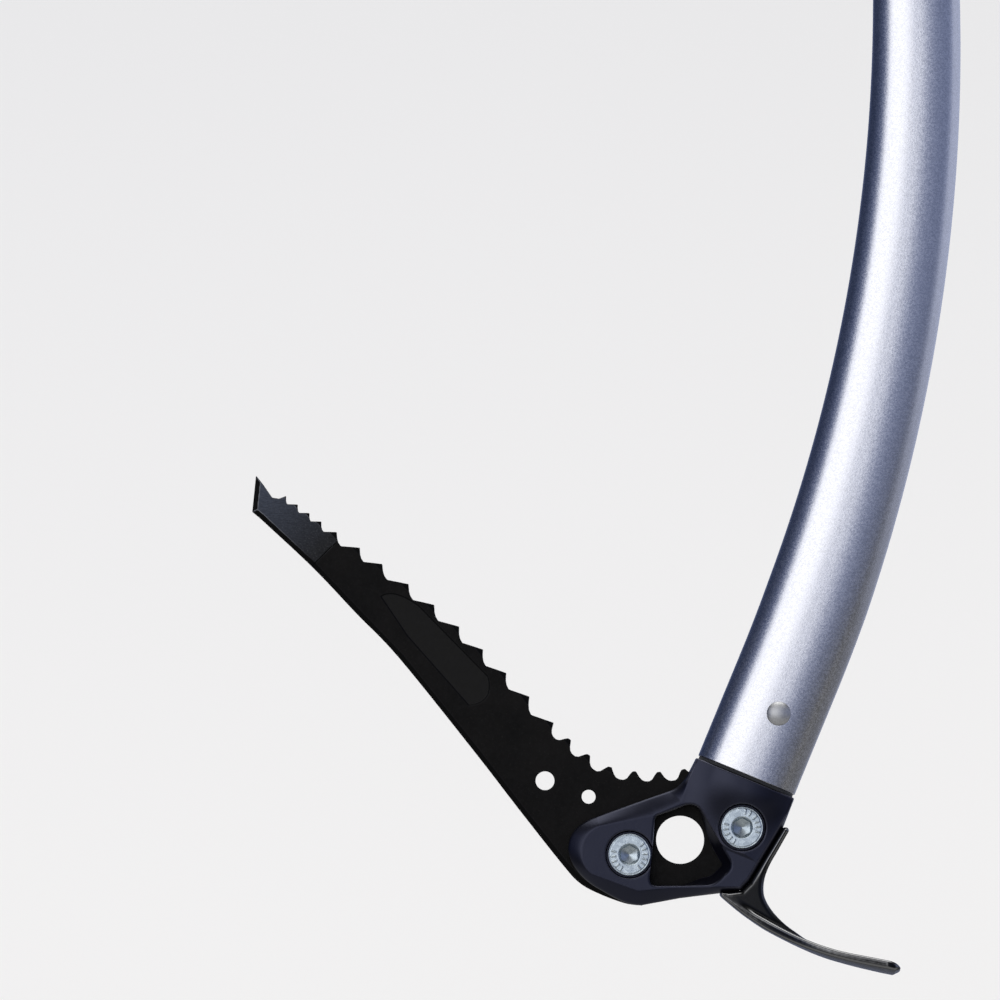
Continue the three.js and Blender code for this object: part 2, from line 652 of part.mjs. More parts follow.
function spikeProfile(grow = 0) {
  const root = SPIKE.rootHalf + grow;
  const shape = new THREE.Shape();
  shape.moveTo(HANDLE_X - root, SPIKE.tangTo - grow);
  shape.lineTo(HANDLE_X + root, SPIKE.tangTo - grow);
  shape.lineTo(HANDLE_X + root, FERRULE.to + 4);
  shape.bezierCurveTo(HANDLE_X + root, 458, HANDLE_X + 7, 466, HANDLE_X + 1.2, SPIKE_TIP_Z);
  shape.lineTo(HANDLE_X - 1.6, SPIKE_TIP_Z);
  shape.bezierCurveTo(HANDLE_X - 5, 470, HANDLE_X - root, 462, HANDLE_X - root, FERRULE.to + 4);
  return shape;
}

function spike() {
  return cut(
    solid(plate(spikeProfile(), SPIKE.half, { curveSegments: 6 })),
    bar(HANDLE_X, SPIKE.holeZ, SPIKE.holeRadius, -THROUGH, THROUGH, 24),
    ...SPIKE_RIVETS_Z.map(spikeRivetHole),
  );
}

// The moulded block that fills the tube round the spike's tang.
function spikeInsert() {
  return cut(
    alongShaft(TUBE_WALL + GAP, atHandle(SPIKE.tangTo - 6), atHandle(TUBE_END_Z - 1)),
    solid(plate(spikeProfile(GAP), SPIKE.half + GAP)),
    ...SPIKE_RIVETS_Z.map(spikeRivetHole),
  );
}

function spikeRivet(z) {
  const { radius, domeRadius, domeHeight } = SPIKE_RIVET;
  return rivet(HANDLE_X, z, SHAFT_GRIP.halfDepth, radius, domeRadius, domeHeight);
}

// ---------------------------------------------------------------- grip rest

function lug(side) {
  const front = REST_PIN.x - LUG.radius;
  const rear = HANDLE_X - SHAFT_GRIP.halfWidth;
  const shape = new THREE.Shape();
  shape.moveTo(rear, REST_PIN.z - LUG.radius - 0.6);
  shape.lineTo(rear, REST_PIN.z + LUG.radius + 0.6);
  shape.lineTo(REST_PIN.x, REST_PIN.z + LUG.radius);
  shape.quadraticCurveTo(front, REST_PIN.z + LUG.radius, front, REST_PIN.z);
  shape.quadraticCurveTo(front, REST_PIN.z - LUG.radius, REST_PIN.x, REST_PIN.z - LUG.radius);
  const geometry = plate(shape, (LUG.outer - LUG.inner) / 2, { curveSegments: 5 });
  geometry.translate(0, (side * (LUG.outer + LUG.inner)) / 2, 0);
  return solid(geometry);
}

function endFerrule() {
  const from = GRIP.to + GAP;
  return cut(
    joined(alongShaft(-FERRULE.wall, atHandle(from), atHandle(FERRULE.to)), lug(-1), lug(1)),
    alongShaft(-GAP, atHandle(from - 5), atHandle(TUBE_END_Z + GAP)),
    solid(plate(spikeProfile(GAP), SPIKE.half + GAP)),
    bar(REST_PIN.x, REST_PIN.z, REST_PIN.radius + GAP, -THROUGH, THROUGH, 16),
  );
}

// Folds towards the head about its pin, so its inner side stays clear of the grip.
function gripRest() {
  const { x, z } = REST_PIN;
  const tip = x - REST.reach;
  const shape = new THREE.Shape();
  shape.moveTo(x, z + 3.9);
  shape.bezierCurveTo(x - 10, z + 4.4, tip + 8, z + 3.4, tip, z - 2.2);
  shape.quadraticCurveTo(tip - 2.6, z - 6.2, tip + 1.8, z - 6.8);
  shape.bezierCurveTo(tip + 9, z - 2.4, x - 12, z - 0.6, x - 3, z - 1.6);
  shape.lineTo(x, z - 2);
  const arm = solid(plate(shape, REST.half, { bevel: 1.2, curveSegments: 6 }));
  const shoulders = [-1, 1].map((side) => {
    const block = new THREE.BoxGeometry(14, 6, 20);
    block.translate(x - 0.6, side * (REST.knuckleHalf + 3), z);
    return solid(block);
  });
  return cut(
    joined(cut(arm, ...shoulders), bar(x, z, REST.knuckleRadius, -REST.knuckleHalf, REST.knuckleHalf)),
    bar(x, z, REST_PIN.radius + GAP, -THROUGH, THROUGH, 16),
  );
}

function restPin() {
  const { x, z, radius } = REST_PIN;
  return joined(
    bar(x, z, radius, -LUG.outer - 0.5, LUG.outer + 1.6, 16),
    bar(x, z, PIN_HEAD_RADIUS, -LUG.outer - 1.7, -LUG.outer - GAP, 16),
  );
}

function restClip() {
  const { x, z, radius } = REST_PIN;
  return cut(
    bar(x, z, PIN_HEAD_RADIUS, LUG.outer + GAP, LUG.outer + 1.3, 16),
    bar(x, z, radius + GAP, 0, THROUGH, 16),
  );
}

function restWasher() {
  const { x, z, radius } = REST_PIN;
  return cut(
    bar(x, z, 3.7, REST.knuckleHalf + GAP, REST.knuckleHalf + 1.1, 16),
    bar(x, z, radius + GAP, 0, THROUGH, 16),
  );
}

// ---------------------------------------------------------------- assembly

const axe = new THREE.Group();

const headAssembly = new THREE.Group();
headAssembly.add(
  meshOf('head', head(), headPaint),
  meshOf('head_seal', headSeal(), moulded),
  meshOf('pick', pick(), pickSteel),
  meshOf('adze', adze(), adzePaint),
  meshOf('front_bolt', headBolt(FRONT_BOLT), zinc),
  meshOf('front_nut', barrelNut(FRONT_BOLT), zinc),
  meshOf('rear_bolt', headBolt(REAR_BOLT), zinc),
  meshOf('rear_nut', barrelNut(REAR_BOLT), zinc),
  meshOf('head_rivet', headRivet(), rivetMetal),
);

const handle = new THREE.Group();
handle.add(
  meshOf('shaft_tube', shaftTube(), aluminium),
  meshOf('tube_plug', tubePlug(), foam),
  meshOf('grip_band', gripBand(), moulded),
  meshOf('grip_sleeve', gripSleeve(), rubber),
  meshOf('end_ferrule', endFerrule(), moulded),
  meshOf('spike', spike(), spikeSteel),
  meshOf('spike_insert', spikeInsert(), moulded),
);
SPIKE_RIVETS_Z.forEach((z, i) => handle.add(meshOf(`spike_rivet_${i + 1}`, spikeRivet(z), rivetMetal)));

const trigger = new THREE.Group();
trigger.add(
  meshOf('trigger_body', triggerBody(), moulded),
  meshOf('trigger_pad', triggerPad(), rubber),
  meshOf('trigger_screw', triggerScrew(), zinc),
  meshOf('trigger_nut', triggerNut(), zinc),
);

const restAssembly = new THREE.Group();
restAssembly.add(
  meshOf('grip_rest', gripRest(), moulded),
  meshOf('grip_rest_pin', restPin(), zinc),
  meshOf('grip_rest_clip', restClip(), zinc),
  meshOf('grip_rest_washer', restWasher(), zinc),
);

axe.add(headAssembly, handle, trigger, restAssembly);

export default axe;
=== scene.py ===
import json
import math
import bmesh
import bpy
import numpy as np
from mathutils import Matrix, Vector


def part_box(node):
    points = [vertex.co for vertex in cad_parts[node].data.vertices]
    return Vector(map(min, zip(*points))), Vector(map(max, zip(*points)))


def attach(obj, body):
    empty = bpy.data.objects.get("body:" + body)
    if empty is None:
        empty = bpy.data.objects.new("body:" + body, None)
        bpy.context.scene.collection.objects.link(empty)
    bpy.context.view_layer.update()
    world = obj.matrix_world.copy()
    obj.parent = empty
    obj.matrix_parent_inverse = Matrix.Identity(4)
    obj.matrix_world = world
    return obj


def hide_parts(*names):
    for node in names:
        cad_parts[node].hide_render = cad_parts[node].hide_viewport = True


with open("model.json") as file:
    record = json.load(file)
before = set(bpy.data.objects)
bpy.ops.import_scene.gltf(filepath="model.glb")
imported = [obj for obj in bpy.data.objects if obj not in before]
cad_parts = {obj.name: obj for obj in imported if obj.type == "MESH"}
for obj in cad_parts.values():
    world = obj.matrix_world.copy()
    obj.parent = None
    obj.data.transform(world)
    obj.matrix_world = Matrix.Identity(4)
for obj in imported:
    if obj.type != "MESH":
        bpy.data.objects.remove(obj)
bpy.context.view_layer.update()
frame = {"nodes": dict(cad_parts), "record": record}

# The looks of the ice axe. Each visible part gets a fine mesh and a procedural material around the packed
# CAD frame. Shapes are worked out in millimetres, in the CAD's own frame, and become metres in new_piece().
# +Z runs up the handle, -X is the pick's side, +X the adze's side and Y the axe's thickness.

MM = 0.001

# ---- the frame's own places and sizes


def corners(node):
    """A CAD node's lowest and highest corner, in millimetres."""
    return [np.array(corner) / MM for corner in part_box(node)]


def middle(node):
    low, high = corners(node)
    return (low + high) / 2


FRONT_BOLT = middle("front_bolt")[[0, 2]]
REAR_BOLT = middle("rear_bolt")[[0, 2]]
HEAD_RIVET = middle("head_rivet")[[0, 2]]
SPIKE_RIVETS = [middle("spike_rivet_1")[[0, 2]], middle("spike_rivet_2")[[0, 2]]]
REST_PIN = middle("grip_rest_pin")[[0, 2]]
TRIGGER_SCREW = middle("trigger_screw")[[0, 2]]
HANDLE_X = middle("spike_insert")[0]

GAP = 0.3
HEAD_TILT = math.radians(22.5)
COLLAR_X, COLLAR_Z = 19.25, 24.3
STUB_LENGTH = 39.0
BEND_RADIUS = 600.0
BEND_LENGTH = BEND_RADIUS * HEAD_TILT
BEND_END_Z = COLLAR_Z + STUB_LENGTH * math.cos(HEAD_TILT) + BEND_RADIUS * math.sin(HEAD_TILT)
TAPER_FROM, TAPER_TO = 68.0, 283.0
HALF_WIDTHS = (18.2, 15.25)  # of the tube at the head and at the handle
HALF_DEPTHS = (12.2, 11.0)
SECTION_POWER = 2.6
TUBE_WALL = 1.7
TUBE_START = 1.4
TUBE_END_Z = corners("shaft_tube")[1][2]

CHEEK_HALF = 8.5
SLOT_HALF = 2.3
PICK_HALF = corners("pick")[1][1]
PICK_TIP_HALF = 1.6
NOSE_X, NOSE_Z = -0.70, 0.72  # the way from the head to the pick's nose
PICK_STEP = 163.7  # how far that way the pick gets thinner
BOLT_SEAT = 4.8  # half the metal left between the two counterbores
COUNTERBORE_RADIUS = 8.3
SHANK_RADIUS = 3.9
ADZE_EYE_RADIUS = 7.5


# ---- meshes


def new_piece(name, points, faces, body, slot, stands_for, normals=None, edge_curvature=None):
    """A mesh object from points in millimetres, riding on a body in place of CAD nodes."""
    mesh = bpy.data.meshes.new(name)
    mesh.from_pydata((np.asarray(points, float) * MM).tolist(), [], faces)
    mesh.validate()
    mesh.shade_smooth()
    if edge_curvature is not None:
        attribute = mesh.attributes.new("edge_curvature", "FLOAT", "POINT")
        attribute.data.foreach_set("value", np.asarray(edge_curvature, np.float32))
    if normals is not None:
        mesh.normals_split_custom_set_from_vertices(normals.tolist())
    piece = bpy.data.objects.new(name, mesh)
    bpy.context.scene.collection.objects.link(piece)
    mesh.materials.append(FINISHES[slot])
    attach(piece, body)
    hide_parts(*stands_for)
    return piece


def sharpen(piece, degrees):
    """Marks the edges where two faces meet at more than an angle, so that they shade crisply."""
    form = bmesh.new()
    form.from_mesh(piece.data)
    for edge in form.edges:
        edge.smooth = edge.calc_face_angle(0.0) < math.radians(degrees)
    form.to_mesh(piece.data)
    form.free()


def ring_grid(rows, columns):
    """Quads over a grid of points whose rows and columns close on themselves."""
    quads = []
    for i in range(rows):
        here, below = i * columns, (i + 1) % rows * columns
        for j in range(columns):
            right = (j + 1) % columns
            quads.append((here + j, here + right, below + right, below + j))
    return quads


def circle(radius, sides, centre=(0, 0)):
    """Points round a circle."""
    turns = [2 * math.pi * i / sides for i in range(sides)]
    return [(centre[0] + radius * math.cos(turn), centre[1] + radius * math.sin(turn)) for turn in turns]


def turned_faces(rings, sides):
    """Faces of a turned shape whose points are one on its axis and then its rings."""
    faces = [(0, 1 + i, 1 + (i + 1) % sides) for i in range(sides)]
    for start in range(1, 1 + (rings - 1) * sides, sides):
        for i in range(sides):
            right = (i + 1) % sides
            faces.append((start + i, start + sides + i, start + sides + right, start + right))
    return faces


# ---- outlines in the X-Z plane


def mixed(a, b, t):
    return (1 - t) * np.asarray(a, float) + t * np.asarray(b, float)


class Outline:
    """A closed outline drawn as lines and curves."""

    def __init__(self, *start):
        self.points = [np.array(start, float)]

    def line(self, *points):
        self.points += [np.array(point, float) for point in points]
        return self

    def curve(self, *controls, steps=20):
        """A Bezier curve."""
        start = self.points[-1]
        for i in range(1, steps + 1):
            points = [start, *controls]
            while len(points) > 1:
                points = [mixed(a, b, i / steps) for a, b in zip(points, points[1:])]
            self.points.append(points[0])
        return self

    def bend(self, control, end):
        return self.curve(control, end, steps=12)

    def through(self, *points, steps=8):
        """A smooth curve through points."""
        self.points += spline([self.points[-1], *points], steps)[1:]
        return self


def spline(knots, steps):
    """A Catmull-Rom curve through points."""
    knots = [np.array(knot, float) for knot in knots]
    padded = [2 * knots[0] - knots[1], *knots, 2 * knots[-1] - knots[-2]]
    made = [knots[0]]
    for a, b, c, d in zip(padded, padded[1:], padded[2:], padded[3:]):
        for i in range(1, steps + 1):
            t = i / steps
            made.append(0.5 * (2 * b + (c - a) * t + (2 * a - 5 * b + 4 * c - d) * t**2
                               + (3 * b - a - 3 * c + d) * t**3))
    return made


def distance_to_path(points, x, z):
    """Distance to an open path in the plane."""
    best = np.float32(1e12)
    for (ax, az), (bx, bz) in zip(points, points[1:]):
        ex, ez = bx - ax, bz - az
        length = max(ex * ex + ez * ez, 1e-9)
        t = np.clip(((x - ax) * ex + (z - az) * ez) / length, 0, 1)
        best = np.minimum(best, (x - ax - t * ex) ** 2 + (z - az - t * ez) ** 2)
    return np.sqrt(best)


def inside_of(outline, x, z):
    """Signed distance to a closed outline: negative inside."""
    points = outline.points
    inside = np.zeros(np.broadcast(x, z).shape, bool)
    for (ax, az), (bx, bz) in zip(points, points[1:] + points[:1]):
        if az != bz:
            crosses = (az > z) != (bz > z)
            inside ^= crosses & (x < (bx - ax) * (z - az) / (bz - az) + ax)
    away = distance_to_path(points + points[:1], x, z)
    return np.where(inside, -away, away)


# ---- solids as distance fields


class Space:
    """Sample points in a box, in millimetres, as three arrays that broadcast together."""

    def __init__(self, low, high, step):
        self.low = np.array(low, float)
        self.step = step
        counts = np.ceil((np.array(high) - self.low) / step).astype(int) + 1
        axes = [self.low[i] + step * np.arange(counts[i]) for i in range(3)]
        self.x = axes[0][:, None, None].astype(np.float32)
        self.y = axes[1][None, :, None].astype(np.float32)
        self.z = axes[2][None, None, :].astype(np.float32)


def space_round(node, step, margin=1.2):
    """The space that holds a CAD node, and its coordinates."""
    low, high = corners(node)
    space = Space(low - margin, high + margin, step)
    return space, space.x, space.y, space.z


def both(a, b, radius=0.0):
    """What two solids share, with the edge between them rounded."""
    if not radius:
        return np.maximum(a, b)
    corner = np.hypot(np.maximum(a + radius, 0), np.maximum(b + radius, 0))
    return np.minimum(-radius, np.maximum(a, b)) + corner


def either(a, b, radius=0.0):
    """Two solids joined, with a fillet."""
    return -both(-a, -b, radius)


def without(a, b, radius=0.0):
    return both(a, -b, radius)


def cylinder(x, z, centre, radius):
    return np.hypot(x - centre[0], z - centre[1]) - radius


def slab(value, low, high):
    """Distance to what lies between two values."""
    return np.maximum(low - value, value - high)


def eased(value, low, high):
    """0 to 1 between two values, smoothly."""
    t = np.clip((value - low) / (high - low), 0, 1)
    return t * t * (3 - 2 * t)


def sampled(field, where):
    """The field between its samples, at places counted in samples."""
    base = np.clip(np.floor(where).astype(int), 0, np.array(field.shape) - 2)
    part = (where - base).astype(np.float32)
    total = np.zeros(len(where), np.float32)
    for corner in np.ndindex(2, 2, 2):
        weight = np.where(corner, part, 1 - part).prod(axis=1)
        total += weight * field[tuple((base + corner).T)]
    return total


def slopes(field, where, reach):
    """The field's direction of steepest rise, and how strongly it curves outward."""
    rise = np.zeros_like(where)
    curving = -6 * sampled(field, where)
    for axis in range(3):
        shift = np.zeros(3)
        shift[axis] = reach
        ahead, behind = sampled(field, where + shift), sampled(field, where - shift)
        rise[:, axis] = ahead - behind
        curving += ahead + behind
    return rise, curving / reach


def skin(field):
    """The surface where a field changes sign, as places in samples and quads (surface nets)."""
    inside = field < 0
    size = np.array(field.shape) - 1
    filled = np.zeros(size, np.int8)
    offsets = list(np.ndindex(2, 2, 2))
    for i, j, k in offsets:
        filled += inside[i:size[0] + i, j:size[1] + j, k:size[2] + k]
    cells = np.argwhere((filled > 0) & (filled < 8))
    index = np.full(size, -1, np.int32)
    index[tuple(cells.T)] = np.arange(len(cells))
    places = np.zeros((len(cells), 3))
    crossings = np.zeros(len(cells))
    for axis in range(3):
        for start in [offset for offset in offsets if offset[axis] == 0]:
            end = list(start)
            end[axis] = 1
            a = field[tuple((cells + start).T)]
            b = field[tuple((cells + end).T)]
            crossed = (a < 0) != (b < 0)
            share = np.where(crossed, a / np.where(crossed, a - b, 1), 0)
            places += np.where(crossed[:, None], start, 0)
            places[:, axis] += share
            crossings += crossed
    places = cells + places / crossings[:, None]
    quads = []
    for axis in range(3):
        u, v = (axis + 1) % 3, (axis + 2) % 3
        ahead = np.take(inside, range(1, size[axis] + 1), axis)
        behind = np.take(inside, range(size[axis]), axis)
        edges = np.argwhere(ahead != behind)
        beside = edges[:, [u, v]]
        edges = edges[((beside > 0) & (beside < size[[u, v]])).all(1)]
        back_u, back_v = np.eye(3, dtype=int)[u], np.eye(3, dtype=int)[v]
        around = [edges, edges - back_u, edges - back_u - back_v, edges - back_v]
        ids = np.stack([index[tuple(cell.T)] for cell in around], 1)
        leaving = behind[tuple(edges.T)]
        quads.append(np.where(leaving[:, None], ids, ids[:, ::-1]))
    return places, np.concatenate(quads)


MOST_MOVED = 0.4  # samples that a point of the skin moves at most, to lie on the surface
CURVATURE_REACH = 0.9  # millimetres over which an edge's roundness is measured


def carved(name, space, field, body, slot, stands_for):
    """A piece whose surface is where a distance field is zero."""
    shape = np.broadcast(space.x, space.y, space.z).shape
    field = np.ascontiguousarray(np.broadcast_to(field, shape), np.float32)
    places, quads = skin(field)
    rise, _ = slopes(field, places, 0.5)
    steep = np.maximum((rise**2).sum(1), 1e-12)
    error = sampled(field, places)
    places -= np.clip(rise * (error / steep)[:, None], -MOST_MOVED, MOST_MOVED)
    rise, _ = slopes(field, places, 0.5)
    normals = rise / np.maximum(np.linalg.norm(rise, axis=1), 1e-9)[:, None]
    _, edge_curvature = slopes(field, places, CURVATURE_REACH / space.step)
    points = space.low + places * space.step
    return new_piece(name, points, quads.tolist(), body, slot, stands_for, normals, edge_curvature)


# ---- the shaft's line and section


def on_shaft(u, v, s):
    """A place u across the shaft (rear positive), v along Y and s from the collar, in the frame."""
    u, v, s = np.broadcast_arrays(np.asarray(u, float), np.asarray(v, float), np.asarray(s, float))
    turn = HEAD_TILT - (np.clip(s, STUB_LENGTH, STUB_LENGTH + BEND_LENGTH) - STUB_LENGTH) / BEND_RADIUS
    bend_x = HANDLE_X - BEND_RADIUS * (1 - np.cos(turn))
    bend_z = BEND_END_Z - BEND_RADIUS * np.sin(turn)
    straight = np.minimum(s - STUB_LENGTH, 0) + np.maximum(s - STUB_LENGTH - BEND_LENGTH, 0)
    x = bend_x + straight * np.sin(turn) + u * np.cos(turn)
    z = bend_z + straight * np.cos(turn) - u * np.sin(turn)
    return np.stack([x, v, z], -1)


def at_height(z):
    """The distance along the shaft of a height on the straight handle."""
    return z - BEND_END_Z + STUB_LENGTH + BEND_LENGTH


def half_sizes(s):
    t = np.clip((s - TAPER_FROM) / (TAPER_TO - TAPER_FROM), 0, 1)
    return mixed(*HALF_WIDTHS, t), mixed(*HALF_DEPTHS, t)


def tube_field(u, y, half_width, half_depth):
    """Roughly the distance to a tube of the shaft's section: negative inside."""
    power = SECTION_POWER
    reach = ((np.abs(u) / half_width) ** power + (np.abs(y) / half_depth) ** power) ** (1 / power)
    return (reach - 1) * half_depth


RIB_FROM = 0.8  # share of the half-width where the flat along the tube's rear edge begins
RIB_ANGLE = math.radians(63)  # of the flat's outward direction from the Y axis
RIB_SOFTNESS = 0.07


def section(sides=160, ribbed=True):
    """The tube's section on a unit width and depth, with a flat on each side of its rear edge."""
    turns = [2 * math.pi * (i + 0.5) / sides for i in range(sides)]
    depth = (1 - RIB_FROM**SECTION_POWER) ** (1 / SECTION_POWER)
    squash = HALF_DEPTHS[1] / HALF_WIDTHS[1]
    normal = (math.sin(RIB_ANGLE), math.cos(RIB_ANGLE) * squash)
    limit = normal[0] * RIB_FROM + normal[1] * depth
    if ribbed:
        crease = math.atan2(depth, RIB_FROM)
        turns = sorted(turns + [crease, 2 * math.pi - crease])
    points = []
    for turn in turns:
        across, along = math.cos(turn), math.sin(turn)
        reach = (abs(across) ** SECTION_POWER + abs(along) ** SECTION_POWER) ** (-1 / SECTION_POWER)
        facing = normal[0] * across + normal[1] * abs(along)
        if ribbed and across > 0 and facing > 0.2:
            overlap = max(RIB_SOFTNESS - abs(reach - limit / facing), 0)
            reach = min(reach, limit / facing) - overlap**2 / (4 * RIB_SOFTNESS)
        points.append((reach * across, reach * along))
    return np.array(points)


def lofted(name, rows, body, slot, stands_for, ribbed=True):
    """A hollow piece round the shaft. Each row is (s, inset), round the outside and back up the inside."""
    unit = section(ribbed=ribbed)
    rings = []
    for s, inset in rows:
        half_width, half_depth = half_sizes(s)
        rings.append(on_shaft(unit[:, 0] * (half_width - inset), unit[:, 1] * (half_depth - inset), s))
    faces = ring_grid(len(rows), len(unit))
    sharpen(new_piece(name, np.concatenate(rings), faces, body, slot, stands_for), 42)


def tube_rows(start, end, outer, inner, steps, edge=0.25):
    """Rows for a sleeve between two distances, with small rounded edges outside."""
    outside = [(start, outer + edge), (start + edge, outer)]
    outside += [(s, outer) for s in np.linspace(start, end, steps + 1)[1:-1]]
    outside += [(end - edge, outer), (end, outer + edge)]
    inside = [(s, inner) for s in np.linspace(end, start, steps + 1)]
    return outside + inside


# ---- materials


class Nodes:
    """A node tree. Each method adds a node and gives its output."""

    def __init__(self, tree):
        self.tree = tree

    def put(self, value, socket):
        if isinstance(value, bpy.types.NodeSocket):
            self.tree.links.new(value, socket)
        else:
            socket.default_value = value

    def add(self, kind, links=None, **settings):
        node = self.tree.nodes.new(kind)
        for name, value in settings.items():
            setattr(node, name, value)
        for socket, value in (links or {}).items():
            self.put(value, node.inputs[socket])
        return node

    def remap(self, value, low, high, to_low=0.0, to_high=1.0):
        links = {"Value": value, "From Min": low, "From Max": high, "To Min": to_low, "To Max": to_high}
        return self.add("ShaderNodeMapRange", links).outputs[0]

    def math(self, operation, a, b=0.0):
        return self.add("ShaderNodeMath", {0: a, 1: b}, operation=operation).outputs[0]

    def mix(self, share, *colours):
        """From one colour to another by a share. Each is a socket or red, green and blue."""
        node = self.add("ShaderNodeMix", data_type="RGBA")
        sockets = [socket for socket in node.inputs if socket.enabled]
        self.put(share, sockets[0])
        for colour, socket in zip(colours, sockets[1:]):
            self.put((*colour, 1) if isinstance(colour, tuple) else colour, socket)
        return [socket for socket in node.outputs if socket.enabled][0]

    def between(self, value, *colours, low=0.3, high=0.7):
        """From one colour to another as a texture rises from low to high."""
        return self.mix(self.remap(value, low, high), *colours)


class Finish(Nodes):
    """A material whose textures lie in the piece's own coordinates. Constants go on the shader's sockets."""

    def __init__(self, name, **constants):
        self.material = bpy.data.materials.new(name)
        self.material.use_nodes = True
        super().__init__(self.material.node_tree)
        self.shader = self.tree.nodes["Principled BSDF"]
        for socket, value in constants.items():
            self.shader.inputs[socket.replace("_", " ")].default_value = value
        self.coordinates = self.add("ShaderNodeTexCoord")
        self.place = self.coordinates.outputs["Object"]

    def noise(self, size_mm, detail=2.0, rough=0.5):
        links = {"Vector": self.place, "Scale": 1 / (size_mm * MM), "Detail": detail, "Roughness": rough}
        return self.add("ShaderNodeTexNoise", links).outputs[0]

    def strokes(self, detail, stretch, rotation=(0, 0, 0)):
        """Fine noise drawn out along one direction, like the marks of a grinding wheel."""
        links = {"Vector": self.place, "Scale": stretch, "Rotation": rotation}
        place = self.add("ShaderNodeMapping", links).outputs[0]
        links = {"Vector": place, "Scale": STROKE_SCALE, "Detail": detail, "Roughness": 0.6}
        return self.add("ShaderNodeTexNoise", links).outputs[0]

    def cells(self, size_mm, output="Distance"):
        links = {"Vector": self.place, "Scale": 1 / (size_mm * MM)}
        return self.add("ShaderNodeTexVoronoi", links).outputs[output]

    def cell_levels(self, size_mm):
        """A random level for each cell."""
        return self.add("ShaderNodeSeparateColor", {0: self.cells(size_mm, "Color")}).outputs[0]

    def edge_curvature(self, texture, amount, low, high):
        """0 to 1 where an edge is rounded, made uneven by a texture."""
        edge = self.add("ShaderNodeAttribute", attribute_name="edge_curvature").outputs["Fac"]
        return self.remap(self.math("ADD", edge, self.math("MULTIPLY", texture, amount)), low, high)

    def axis(self, letter, of="Object"):
        """One part of the piece's own coordinates, or of its surface's direction."""
        return self.add("ShaderNodeSeparateXYZ", {0: self.coordinates.outputs[of]}).outputs[letter]

    def facing(self):
        """1 where the surface lies flat against the axe's middle plane, 0 where it stands across it."""
        return self.math("ABSOLUTE", self.axis("Y", "Normal"))

    def relief(self, height, depth_mm, strength, under=None):
        links = {"Height": height, "Distance": depth_mm * MM, "Strength": strength}
        if under is not None:
            links["Normal"] = under
        return self.add("ShaderNodeBump", links).outputs[0]

    def use(self, **sockets):
        for socket, value in sockets.items():
            self.put(value, self.shader.inputs[socket.replace("_", " ")])
        return self.material

    def surface(self, tone, texture, roughness, grain, depth_mm, strength, **sockets):
        """A colour, a roughness that follows a texture, and the relief of a grain."""
        return self.use(Base_Color=tone, Roughness=self.remap(texture, 0.3, 0.7, *roughness),
                        Normal=self.relief(grain, depth_mm, strength), **sockets)


STROKE_SCALE = 900


def shaft_metal():
    """Aluminium with a coarse bright flake."""
    m = Finish("sparkling_aluminium", Metallic=1.0)
    flake = m.cell_levels(0.42)
    tone = m.between(flake, (0.52, 0.52, 0.5356), (0.72, 0.72, 0.7416), low=0.1, high=0.95)
    tone = m.mix(m.remap(m.noise(7.0, 3.0), 0.35, 0.7, 0.0, 0.2), tone, (0.58, 0.58, 0.6148))
    fine = m.relief(m.noise(0.25), 0.02, 0.3)
    normal = m.relief(m.noise(0.6), 0.05, 0.4, fine)
    return m.use(Base_Color=tone, Roughness=m.remap(flake, 0.0, 1.0, 0.20, 0.30), Normal=normal)


def satin_rivet():
    m = Finish("satin_rivet", Metallic=1.0)
    mottle = m.noise(0.6, 3.0, 0.6)
    tone = m.between(mottle, (0.46, 0.46, 0.46), (0.60, 0.60, 0.60))
    return m.surface(tone, mottle, (0.42, 0.56), mottle, 0.04, 0.4)


def head_coat():
    """Satin black powder coat with a faint blue cast. The edges are paler, partly from a thinner, worn coat and
    partly as a painted highlight.
    """
    m = Finish("satin_black_coat", Specular_IOR_Level=0.48, Specular_Tint=(0.66, 0.70, 1.0, 1))
    peel = m.noise(0.9)
    cloud = m.noise(9.0, 3.0)
    edge = m.edge_curvature(peel, 0.25, 0.42, 0.85)
    tone = m.between(cloud, (0.0020, 0.0020, 0.0040), (0.0045, 0.0045, 0.0085))
    # The rounded edges are paler, partly as worn coat and partly as a painted highlight along them.
    tone = m.mix(m.math("MULTIPLY", edge, 0.6), tone, (0.07, 0.068, 0.085))
    return m.surface(tone, cloud, (0.27, 0.35), peel, 0.05, 0.25)


